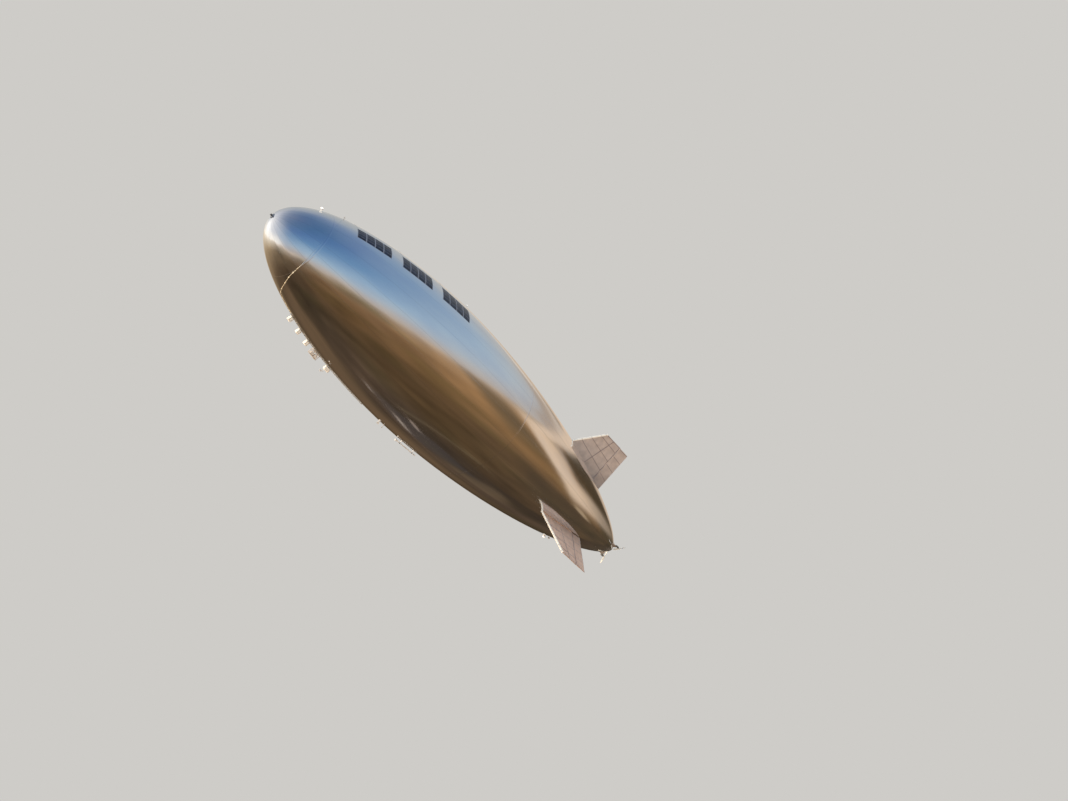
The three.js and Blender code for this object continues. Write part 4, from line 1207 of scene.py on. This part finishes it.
def make_belly_camera():
    s = start_fitting(CAMERA_STATION, 180.0, 0.14, 0.024, 0.09)
    s.stack([(0.085, 0.055, 0.045, 0.012), (0.088, 0.062, 0.052, 0.015), (0.096, 0.065, 0.055, 0.016),
             (0.184, 0.065, 0.055, 0.016), (0.192, 0.062, 0.052, 0.015), (0.195, 0.055, 0.045, 0.012)])
    s.stack([(0.128, 0.0655, 0.0555, 0.016), (0.131, 0.0655, 0.0555, 0.016)], 2)
    lens = at(0.060, 0, 0.152)
    s.lathe([(0.0, 0.034), (0.012, 0.034), (0.018, 0.032), (0.018, 0.0265), (0.010, 0.0255)], 2, 32, lens)
    s.lathe([(0.004, 0.025), (0.011, 0.0235), (0.0135, 0.014), (0.0142, 0.004)], 3, 28, lens)
    s.block((0.040, 0.084, 0.003), (0.066, 0, 0.113), 0.001)
    for side in (-1, 1):
        place = at(0, side * 0.055, 0.140) @ turned(side * 90, "Z")
        s.lathe([(-0.001, 0.014), (0.004, 0.014), (0.006, 0.011)], 1, 20, place)
    s.piece("belly_camera_case", "hull", [WHITE, METAL, DARK, GLASS], "white", ["belly_camera"])


def make_belly_antenna():
    s = start_fitting(DOME_STATION, 180.0, 0.09, 0.012, 0.17)
    s.upright([(0.144, 0.010), (0.148, 0.022), (0.158, 0.033), (0.172, 0.0375), (0.176, 0.0375)], 0, 32)
    s.upright(collar(0.1785, 0.0035, 0.0378, 0.0392, 0.0005), 1, 32)
    s.upright([(0.181, 0.0375), (0.194, 0.0352), (0.206, 0.0278), (0.214, 0.0168), (0.2178, 0.004)], 0, 32)
    s.piece("belly_antenna_dome", "hull", [COMPOSITE, METAL], "composite", ["belly_antenna"])


def make_tail_vent():
    s = start_fitting(VENT_STATION, 180.0, 0.12, 0.020, 0.10)
    s.upright([(0.071, 0.0217), (0.0773, 0.0527), (0.0835, 0.0605), (0.0897, 0.0612),
               (0.0928, 0.0574)], 0, 36)
    for k in range(4):
        s.upright(collar(0.1027 + 0.0124 * k, 0.0037, 0.048, 0.058, 0.0012), 1, 36)
    s.upright([(0.0940, 0.045), (0.1486, 0.045)], 2, 24)
    s.upright([(0.1455, 0.0574), (0.1486, 0.0612), (0.1610, 0.0589), (0.1765, 0.0450), (0.1874, 0.0217),
               (0.1912, 0.0047)], 0, 36)
    s.piece("tail_vent_cap", "hull", [COMPOSITE, METAL, DARK], "composite", ["tail_vent"])


# Tail propulsion
MOTOR_ANGLES = {"port": 60, "lower": 180, "starboard": -60}
MOTOR_AXIS = 0.7
MOTOR_FRONT = 64.22
MOTOR_BACK = 64.66
PROPELLER_STATION = 64.9
BLADE_LENGTH = 0.5
BLADE_ANGLES = {"port": 36, "lower": -73, "starboard": 10}
BLADE_SHARES = (0.02, 0.25, 0.55, 0.85, 1.0)
BLADE_TABLE = {
    "chord": (0.050, 0.115, 0.125, 0.100, 0.050),
    "thickness": (0.025, 0.016, 0.012, 0.008, 0.005),
    "twist": (50, 34, 21, 15, 12),
}
# Corners of the pylon's blade, as x and height over the hull's axis
BLADE_FRONT = (-17.0, 0.664)
BLADE_CORNER = (-17.4, 0.700)
BLADE_REAR_LOW = (-17.46, 0.275)
BLADE_REAR_TOP = (-17.54, 0.700)
PYLON_HALF_THICKNESS = 0.0215
PYLON_FOOT = (63.41, 64.38)
PYLON_FOOT_HALF_WIDTH = 0.074
PYLON_BOLTS = (63.55, 63.95, 64.30)
MOTOR_BANDS = (64.33, 64.55)


def make_pylon(side, turn):
    s = Shape(turn)
    # Foot that follows the hull
    stations = np.linspace(*PYLON_FOOT, 14)[:, None]
    shares = np.array([-1, -0.97, -0.85, -0.4, 0, 0.4, 0.85, 0.97, 1])[None, :]
    lift = np.array([0.0, 0.004, 0.0075, 0.009, 0.0105, 0.009, 0.0075, 0.004, 0.0])[None, :]
    degrees = np.degrees(shares * PYLON_FOOT_HALF_WIDTH / hull_radius(stations))
    ends = np.minimum(1.0, np.minimum(stations - stations[0], stations[-1] - stations) / 0.05 + 0.25)
    s.sheet(on_hull(stations, degrees, lift * ends), on_hull(stations, degrees, -0.004))
    # Blade: rounded along its outer edge, thinner towards the rear
    rows = []
    for x in np.linspace(BLADE_FRONT[0] - 0.004, BLADE_REAR_TOP[0], 40):
        high = np.interp(-x, (-BLADE_FRONT[0], -BLADE_CORNER[0]), (BLADE_FRONT[1], BLADE_CORNER[1]))
        rise = (BLADE_REAR_LOW[0] - x) / (BLADE_REAR_LOW[0] - BLADE_REAR_TOP[0])
        low = float(hull_radius(BUOYANCY_STATION - x / SCALE)) - 0.012
        if rise > 0:
            low = max(low, BLADE_REAR_LOW[1] + rise * (BLADE_REAR_TOP[1] - BLADE_REAR_LOW[1]) - 0.02)
        low = min(low, high - 0.001)
        row = []
        for f in 1 - (1 - np.linspace(0, 1, 18)) ** 2:
            z = low + (high - low) * f
            climb = (z - BLADE_REAR_LOW[1]) / (BLADE_REAR_TOP[1] - BLADE_REAR_LOW[1])
            trail = BLADE_REAR_LOW[0] + climb * (BLADE_REAR_TOP[0] - BLADE_REAR_LOW[0])
            edge = min(1.0, (high - z) / 0.045)
            tail = min(1.0, max(0.0, (x - trail) / 0.16))
            full = math.sqrt(max(0.0, 1 - (1 - edge) ** 2)) * (0.16 + 0.84 * tail)
            row.append((x, PYLON_HALF_THICKNESS * full + 0.0004, z))
        rows.append(row)
    port = np.array(rows)
    s.sheet(port, port * (1, -1, 1))
    # Clamp bands round the motor, and bolts through the foot
    for station in MOTOR_BANDS:
        x = float(x_of(station))
        s.lathe(collar(x, 0.009, 0.0655, 0.0682, 0.001), 1, 40, at(0, 0, MOTOR_AXIS))
        s.block((0.018, 0.020, 0.014), (x, 0, MOTOR_AXIS + 0.0725), 0.002, 1)
        s.lathe([(-0.014, 0.0034), (0.014, 0.0034)], 1, 10, at(x, 0, MOTOR_AXIS + 0.0735) @ turned(90, "Z"))
    for y in (-0.060, 0.060):
        for station in PYLON_BOLTS:
            here = hull_frame(station, math.degrees(y / float(hull_radius(station))))
            bolt(s, here, 0, 0, 0.0072, 0.006, 0.0045)
    s.piece(f"{side}_motor_pylon", "hull", [COMPOSITE, METAL], "composite", [f"{side}_pylon"])


def make_motor(side, turn):
    s = Shape(turn @ at(0, 0, MOTOR_AXIS))
    front, rear = float(x_of(MOTOR_FRONT)), float(x_of(MOTOR_BACK))
    # Nose, cooling ribs, rear cap and shaft
    profile = arc(0.0624, 7.5, 90, 12, front)
    profile += [(front - 0.002, 0.0624), (front - 0.003, 0.0645), (front - 0.060, 0.0645)]
    x = front - 0.062
    while x > rear + 0.046:
        profile += [(x, 0.0585), (x - 0.0035, 0.0585), (x - 0.0042, 0.0648), (x - 0.0078, 0.0648)]
        x -= 0.0085
    end = [(0.034, 0.0585), (0.033, 0.0642), (0.004, 0.0642), (0.0, 0.0610), (0.0, 0.0450), (-0.0005, 0.0320),
           (0.0, 0.0145), (0.055, 0.0142), (0.056, 0.001)]
    profile += [(rear + x, radius) for x, radius in end]
    s.lathe(profile, 0, 44)
    cap = [(0.001, 0.030), (-0.004, 0.0290), (-0.006, 0.0260), (-0.006, 0.0150), (0.002, 0.0148)]
    s.lathe([(rear + x, radius) for x, radius in cap], 1, 32)
    for place in ring_places(6, 0.050, 30, rear):
        s.lathe([(0.001, 0.0052), (-0.004, 0.0052), (-0.0055, 0.0035)], 1, 6, place)
    s.lathe([(front + 0.0385, 0.0488), (front + 0.0365, 0.0522), (front + 0.0320, 0.0545)], 1, 36)
    s.piece(f"{side}_motor_case", "hull", [MOTOR, METAL], "dark", [f"{side}_motor"])


def blade(s, place):
    rows = []
    for share in (*np.linspace(0.04, 0.96, 26), 0.975, 0.987, 0.995, 1.0):
        chord, thick, twist = (float(np.interp(share, BLADE_SHARES, row)) for row in BLADE_TABLE.values())
        if share > 0.96:
            chord *= math.sqrt(max(0.02, 1 - ((share - 0.96) / 0.04) ** 2))
        # Round root that runs into the hub
        root = max(0.0, (0.25 - share) / 0.21)
        chord = chord * (1 - root) + 0.056 * root
        thick = thick * (1 - root) + 0.028 * root
        angle = math.radians(twist)
        row = []
        for a in np.arange(24) * math.pi / 12:
            across = chord / 2 * math.cos(a)
            through = thick / 2 * math.sin(a) * (1 + 0.3 * math.cos(a)) + thick * 0.12 * math.sin(a) ** 2
            row.append((across * math.sin(angle) + through * math.cos(angle),
                        across * math.cos(angle) - through * math.sin(angle), share * BLADE_LENGTH))
        rows.append(row)
    s.closed(np.array(rows), 0, place)
    root = [(0.018, 0.0175), (0.042, 0.0172), (0.046, 0.0190), (0.056, 0.0190), (0.060, 0.0165)]
    s.upright(root, 1, 20, place)


def make_propeller(side, turn, angle):
    spin = turned(BLADE_ANGLES[side] + angle - 90, "X")
    s = Shape(turn @ at(float(x_of(PROPELLER_STATION)), 0, MOTOR_AXIS) @ spin)
    for way in (0, 180):
        blade(s, turned(way, "X"))
    s.lathe([(0.035, 0.026), (0.034, 0.030), (0.030, 0.0335), (0.024, 0.0348), (-0.029, 0.0350),
             (-0.030, 0.0338), (-0.033, 0.0338), (-0.034, 0.0350)], 0, 36)
    turns = np.linspace(0, math.pi / 2, 13)
    s.lathe([(-0.034 - 0.0455 * math.sin(a), max(0.0345 * math.cos(a), 0.0012)) for a in turns], 0, 36)
    shaft_end = float(x_of(MOTOR_BACK - 0.1) - x_of(PROPELLER_STATION))
    s.lathe([(0.033, 0.0165), (0.040, 0.0160), (0.044, 0.0118), (shaft_end, 0.0118)], 1, 24)
    for place in ring_places(4, 0.022, 45):
        s.lathe([(0.033, 0.0045), (0.0385, 0.0045), (0.0400, 0.0030)], 1, 6, place)
    node = f"{side}_propeller"
    s.piece(f"{side}_propeller_blades", node, [BLADE, METAL], "composite", [node])


# Camera, at the photograph's place
SHIP_ROLL = 5.1


def rolled(x, y, z):
    """Turns a fitted vector about the hull's axis, from port towards the top."""
    a = math.radians(SHIP_ROLL)
    return Vector((x, y * math.cos(a) - z * math.sin(a), z * math.cos(a) + y * math.sin(a)))


CAMERA_PLACE = rolled(34.48, 59.14, -10.10)
CAMERA_RIGHT = rolled(-0.5788, 0.5292, 0.6204)
CAMERA_UP = rolled(0.6035, -0.2336, 0.7623)
CAMERA_ANGLE = 49.03
FLOOR_HEIGHT = CAMERA_PLACE.z - 0.6
FLOOR_REACH = 1500.0


def make_camera():
    data = bpy.data.cameras.new("camera")
    data.sensor_width = 36.0
    data.angle = math.radians(CAMERA_ANGLE)
    data.clip_start = 0.1
    data.clip_end = 3000.0
    camera = in_scene("camera", data)
    back = CAMERA_RIGHT.cross(CAMERA_UP).normalized()
    up = back.cross(CAMERA_RIGHT).normalized()
    right = up.cross(back)
    place = Matrix((right, up, back)).transposed().to_4x4()
    place.translation = CAMERA_PLACE
    camera.matrix_world = place
    bpy.context.scene.camera = camera


# Light. The ship hangs nose-up in the photograph, so its surroundings are turned to match.
WORLD_UP = rolled(0.72688, -0.01004, 0.68669)
WORLD_NOSE = rolled(0.68676, 0.01062, -0.72681)
WORLD_PORT = rolled(0.0, 0.99989, 0.01462)
BACKDROP = srgb(206, 204, 200)
FILM_BOOST = 1.02
MATT_BOOST = 1.2
MATT_TINT = (1.2, 1.0, 0.8)


def toward(azimuth, elevation):
    """A direction from its angle off the nose, positive to port, and its height."""
    a, e = math.radians(azimuth), math.radians(elevation)
    flat = math.cos(a) * WORLD_NOSE + math.sin(a) * WORLD_PORT
    return math.cos(e) * flat + math.sin(e) * WORLD_UP


def make_world():
    world = bpy.data.worlds.new("studio")
    world.use_nodes = True
    bpy.context.scene.world = world
    t = Tree(world.node_tree)
    d = t.add("TexCoord").outputs["Generated"]
    up, ahead, port = (t.dot(d, way) for way in (WORLD_UP, WORLD_NOSE, WORLD_PORT))
    elevation = t.times(t.math("ARCSINE", up), DEGREES)
    azimuth = t.times(t.math("ARCTAN2", port, ahead), DEGREES)
    aft = t.times(t.math("ARCTAN2", t.times(port, -1.0), t.times(ahead, -1.0)), DEGREES)

    # Sky, from a pale horizon to deep blue, hazier towards the tail and white round the low sun
    sky = t.screen_ramp(t.math("DIVIDE", elevation, 90.0), (
        (0.0, 182, 168, 156), (0.035, 184, 177, 172), (0.09, 172, 184, 195), (0.17, 150, 176, 200),
        (0.33, 106, 143, 181), (0.5, 83, 118, 164), (0.67, 74, 108, 149), (0.83, 77, 106, 146),
        (1.0, 86, 108, 145),
    ))
    behind = t.step(t.dot(d, toward(178, 8)), 0.4, 1.1)
    sky = t.mix(t.times(behind, 0.3), sky, screen(178, 186, 194))
    near = t.math("DIVIDE", t.degrees_from(d, toward(-54, 10)), 108.0)
    glow = t.ramp(near, [
        (0.0, (1.5, 1.46, 1.4)), (0.12, (1.15, 1.12, 1.08)), (0.24, srgb(236, 235, 236)),
        (0.42, srgb(204, 205, 211)), (0.7, srgb(160, 166, 178)), (1.0, srgb(128, 140, 162)),
    ], "LINEAR")
    share = t.ramp(near, [(0.0, 1.0), (0.25, 0.97), (0.42, 0.86), (0.6, 0.46), (0.8, 0.15),
                          (1.0, 0.0)], "LINEAR")
    sky = t.mix(share, sky, glow)
    lift = t.fall(t.degrees_from(d, toward(-8, 26)), 5, 46)
    sky = t.mix(t.times(lift, 0.26), sky, screen(230, 230, 230))
    sky = t.patch(sky, 0.9, rgba((1.12, 1.06, 0.96)), (azimuth, -140, 4, 24.0), (elevation, -20, 9, 9.0))
    veil = t.fall(t.degrees_from(d, toward(-124, 8)), 8, 64)
    sky = t.mix(t.times(veil, 0.85), sky, screen(176, 178, 178))

    # Ground: dull ahead, warm to port and gold towards the tail
    depth = t.math("DIVIDE", elevation, -90.0)
    dull = t.screen_ramp(depth, (
        (0.0, 228, 212, 196), (0.025, 204, 188, 172), (0.06, 164, 148, 130), (0.13, 110, 93, 73),
        (0.28, 74, 59, 44), (0.45, 66, 54, 40), (0.66, 84, 68, 54), (0.84, 62, 51, 41),
        (1.0, 66, 54, 43),
    ))
    warm = t.screen_ramp(depth, (
        (0.0, 172, 158, 142), (0.025, 154, 136, 116), (0.06, 138, 116, 90), (0.13, 126, 96, 67),
        (0.28, 111, 84, 56), (0.45, 86, 66, 45), (0.66, 82, 64, 43), (1.0, 72, 57, 43),
    ))
    gold = t.screen_ramp(depth, (
        (0.0, 186, 166, 146), (0.025, 176, 149, 121), (0.06, 168, 133, 96), (0.13, 150, 114, 77),
        (0.28, 131, 100, 67), (0.45, 102, 79, 55), (0.66, 90, 72, 52), (1.0, 74, 58, 44),
    ))
    ground = t.mix(t.step(azimuth, 0, 66), dull, warm)
    ground = t.mix(t.step(azimuth, 82, 124), ground, gold)

    # Fields and tracks, smeared sideways, with a greener cast in places
    flat = t.math("MAXIMUM", t.math("SQRT", t.math("SUBTRACT", 1.0, t.times(up, up))), 0.02)
    east, north = (t.math("DIVIDE", t.times(way, 2.2), flat) for way in (ahead, port))
    field = t.add("CombineXYZ", {0: east, 1: north, 2: t.math("DIVIDE", elevation, 8.0)}).outputs[0]
    shade = t.ramp(t.noise(field, 1.3, 3.0), [(0.3, 0.7), (0.5, 1.0), (0.7, 1.3)], "LINEAR")
    ground = t.mix(0.85, ground, t.mix(1.0, ground, shade, "MULTIPLY"))
    green = t.add("TexNoise", {"Vector": field, "Scale": 0.9, "Detail": 2.0, "W": 3.0}, noise_dimensions="4D")
    cast = t.times(t.step(green.outputs[0], 0.5, 0.68), 0.4)
    ground = t.mix(cast, ground, t.mix(1.0, ground, rgba((0.78, 0.92, 0.74)), "MULTIPLY"))

    # Low sun caught by the haze over the ground
    low = t.math("DIVIDE", t.degrees_from(d, toward(-64, 0)), 60.0)
    spread = t.ramp(low, [(0.0, 1.0), (0.12, 0.62), (0.28, 0.3), (0.6, 0.06), (1.0, 0.0)], "LINEAR")
    ridge = t.ramp(depth, [(0.0, 1.0), (0.03, 0.8), (0.07, 0.58), (0.14, 0.26), (0.3, 0.03),
                           (0.4, 0.0)], "LINEAR")
    wide = t.times(t.band(azimuth, -125, -28, 22.0), ridge)
    lit = t.ramp(depth, [(0.0, (1.15, 1.06, 0.92)), (0.04, srgb(255, 240, 214)), (0.14, srgb(255, 222, 176)),
                         (0.3, srgb(250, 206, 156))], "LINEAR")
    ground = t.mix(t.math("MAXIMUM", t.times(spread, ridge), t.times(wide, 0.85)), ground, lit)
    ground = t.patch(ground, 0.75, screen(112, 90, 68), (azimuth, -104, -34, 10.0),
                     (elevation, -50, -30, 6.0))

    # Behind the tail: a pale upright, a thin pale arch from it, and duller ground under them
    shallow = t.math("ADD", t.math("MAXIMUM", elevation, -13.0), 12.0)
    left_edge = t.math("MULTIPLY_ADD", shallow, -1.2, aft)
    edge_line = t.math("MULTIPLY_ADD", aft, 0.11, t.math("ADD", elevation, 16.8))
    above = t.math("MAXIMUM", t.fall(left_edge, -18, -11), t.fall(edge_line, -4.0, 4.0))
    slope = t.math("MULTIPLY_ADD", elevation, -0.25, aft)
    right_edge = t.times(t.step(slope, -28.4, -24.2), t.fall(aft, 36, 44))
    foot = t.ramp(t.math("DIVIDE", t.math("MULTIPLY_ADD", aft, -0.12, elevation), -40.0), [
        (0.3, 1.0), (0.45, 0.95), (0.58, 0.88), (0.65, 0.8), (0.68, 0.5), (0.74, 0.2), (0.8, 0.04),
        (0.86, 0.0),
    ], "LINEAR")
    fade = t.ramp(t.math("DIVIDE", t.math("ADD", aft, 40.0), 80.0), [
        (0.0, 1.0), (0.18, 0.98), (0.26, 0.82), (0.32, 0.66), (0.44, 0.46), (0.56, 0.38), (0.7, 0.28),
        (0.85, 0.14), (1.0, 0.0),
    ], "LINEAR")
    upright = t.times(right_edge, above, t.step(elevation, 0, -6), foot, fade)
    bend = t.times(aft, 0.06)
    arch_line = t.math("ADD", elevation, t.times(bend, bend, 1.15))
    arch = t.times(t.band(aft, -26, 52, 4.0), t.band(arch_line, -3.6, -0.5, 0.7))
    ground = t.patch(ground, 0.75, screen(96, 82, 62), (aft, -52, -32, 6.0), (elevation, -20, -2, 5.0))
    dimmed = t.mix(1.0, ground, rgba((0.5, 0.48, 0.44)), "MULTIPLY")
    ground = t.patch(ground, 0.3, dimmed, (azimuth, 22, 72, 14.0), (elevation, -30, -3, 3.0))
    ground = t.patch(ground, 0.55, screen(66, 58, 48), (aft, -62, 60, 10.0), (elevation, -66, -36, 8.0))
    shadow = t.screen_ramp(depth, ((0.04, 58, 47, 33), (0.12, 68, 55, 39), (0.2, 80, 68, 50)))
    ground = t.patch(ground, 0.92, shadow, (aft, -14, 40, 4.0), (elevation, -40, -4, 1.5))
    beyond = t.times(t.band(aft, 14, 50, 5.0), t.band(elevation, -52, -30, 4.0))
    spots = t.times(t.step(t.noise(field, 14.0, 1.0), 0.55, 0.66), beyond)
    ground = t.mix(t.times(spots, 0.6), ground, screen(176, 162, 148))
    rim = t.times(t.band(aft, 27, 60, 6.0), t.band(elevation, -24, -5, 3.0), 0.75)
    ground = t.mix(t.math("MAXIMUM", t.math("MAXIMUM", upright, arch), rim), ground, screen(222, 197, 172))
    knot = t.fall(t.degrees_from(d, toward(150, -38)), 1.5, 4.5)
    ground = t.mix(t.times(knot, 0.55), ground, screen(214, 186, 150))

    # Darker straight below, with grey fields, thin pale tracks and small glints between them
    sloping = t.math("MULTIPLY_ADD", azimuth, 0.12, elevation)
    slant = t.math("MULTIPLY_ADD", azimuth, 0.093, elevation)
    for amount, colour, *bands in (
        (0.55, (76, 70, 68), (azimuth, -72, -28, 7.0), (elevation, -78, -61, 2.5)),
        (0.6, (110, 92, 72), (azimuth, -97, -75, 6.0), (elevation, -84, -64, 3.0)),
        (0.5, (128, 112, 88), (azimuth, -8, 84, 8.0), (slant, -69.8, -68.4, 0.6)),
        (0.5, (124, 102, 76), (azimuth, 66, 84, 6.0), (elevation, -74.5, -72, 1.0)),
        (1.0, (210, 192, 176), (azimuth, -62, -46, 3.0), (sloping, -70.3, -69.5, 0.5)),
        (1.0, (240, 222, 208), (azimuth, -38, -32, 3.0), (elevation, -60.2, -59.8, 0.4)),
        (1.0, (232, 208, 190), (azimuth, -34, -16, 4.0), (elevation, -71.5, -70.9, 0.4)),
    ):
        ground = t.patch(ground, amount, screen(*colour), *bands)

    around = t.mix(t.step(elevation, -0.8, 0.8), ground, sky)
    around = t.patch(around, 0.75, screen(166, 145, 126), (aft, -6, 34, 8.0), (elevation, -0.8, 3.0, 1.0))
    diffuse = t.add("LightPath").outputs["Is Diffuse Ray"]
    strength = t.math("MULTIPLY_ADD", diffuse, MATT_BOOST, FILM_BOOST)
    warmed = t.mix(diffuse, around, t.mix(1.0, around, rgba(MATT_TINT), "MULTIPLY"))
    light = t.add("Background", {"Color": warmed, "Strength": strength})
    plain = t.add("Background", {"Color": rgba(BACKDROP), "Strength": 1.0})
    seen = t.add("LightPath").outputs["Is Camera Ray"]
    both = t.add("MixShader", {0: seen, 1: light.outputs[0], 2: plain.outputs[0]})
    t.put(t.add("OutputWorld").inputs[0], both.outputs[0])


# Pieces in the ship's own shade, which the fill light reaches
EQUIPMENT_NAMES = (
    "equipment_rail", "front_battery_case", "middle_battery_case", "rear_battery_case", "payload_truss",
    "payload_pod_case", "sensor_turret", "aft_boom_tube", "nose_light_lamp", "top_beacon_lamp",
    "tail_lamp_unit", "top_antenna_blade", "belly_camera_case", "belly_antenna_dome", "tail_vent_cap",
    "port_propeller_blades", "lower_propeller_blades", "nose_cable_sleeve", "top_fin_leading_tube",
    "port_fin_leading_tube",
)


def make_light(name, energy, colour, size, way):
    """A sun of its own size in degrees, which mirrors don't show."""
    data = bpy.data.lights.new(name, "SUN")
    data.energy = energy
    data.color = colour
    data.angle = math.radians(size)
    sun = in_scene(name, data)
    sun.rotation_mode = "QUATERNION"
    sun.rotation_quaternion = way.to_track_quat("Z", "Y")
    sun.visible_glossy = False
    return sun


def make_lights():
    make_light("key", 4.5, (1.0, 0.86, 0.7), 12, toward(-48, 16))
    fill = make_light("fill", 1.3, (1.0, 0.96, 0.9), 30, toward(60, 5))
    lit = bpy.data.collections.new("filled")
    for name in EQUIPMENT_NAMES:
        lit.objects.link(bpy.data.objects[name])
    fill.light_linking.receiver_collection = lit


def make_floor():
    """A plain plane that only the camera sees, and only from above."""
    ways = ((-1, -1), (1, -1), (1, 1), (-1, 1))
    corners = [(x * FLOOR_REACH, y * FLOOR_REACH, FLOOR_HEIGHT) for x, y in ways]
    mesh = bpy.data.meshes.new("floor")
    mesh.from_pydata(corners, [], [(0, 1, 2, 3)])
    floor = in_scene("floor", mesh)
    material = bpy.data.materials.new("floor")
    material.use_nodes = True
    t = Tree(material.node_tree)
    pale = t.add("Emission", {"Color": rgba(BACKDROP)})
    clear = t.add("BsdfTransparent")
    under = t.add("NewGeometry").outputs["Backfacing"]
    both = t.add("MixShader", {0: under, 1: pale.outputs[0], 2: clear.outputs[0]})
    out = t.add("OutputMaterial")
    t.tree.links.new(both.outputs[0], out.inputs[0])
    mesh.materials.append(material)
    floor.visible_glossy = False
    floor.visible_diffuse = False
    floor.visible_shadow = False


make_envelope()
make_tapes()
make_arrays()
for sleeve_name, sleeve_points in SLEEVE_ROUTES.items():
    make_sleeve(sleeve_name, sleeve_points)
for fin_side, fin_angle in FIN_ANGLES.items():
    make_fin(fin_side, fin_angle)
make_spindle()
make_rail()
for battery_name, battery_station in BATTERY_STATIONS.items():
    make_battery(battery_name, battery_station)
make_frame()
make_pod()
make_boom()
make_lamps()
make_top_antenna()
make_belly_camera()
make_belly_antenna()
make_tail_vent()
for motor_side, motor_angle in MOTOR_ANGLES.items():
    motor_turn = turned(-motor_angle, "X")
    make_pylon(motor_side, motor_turn)
    make_motor(motor_side, motor_turn)
    make_propeller(motor_side, motor_turn, motor_angle)

# Looks of the nodes that ride inside the pieces
carried = {"film": FILM, "tape": TAPE, "solar": CELL, "cloth": CLOTH, "white": WHITE, "composite": COMPOSITE,
           "dark": DARK}
for row in frame["record"]["subparts"]:
    node = frame["nodes"][row["node"]]
    node.data.materials.clear()
    node.data.materials.append(carried[row["material_slot"]])

bpy.context.scene.view_settings.view_transform = "Standard"
make_camera()
make_world()
make_lights()
make_floor()
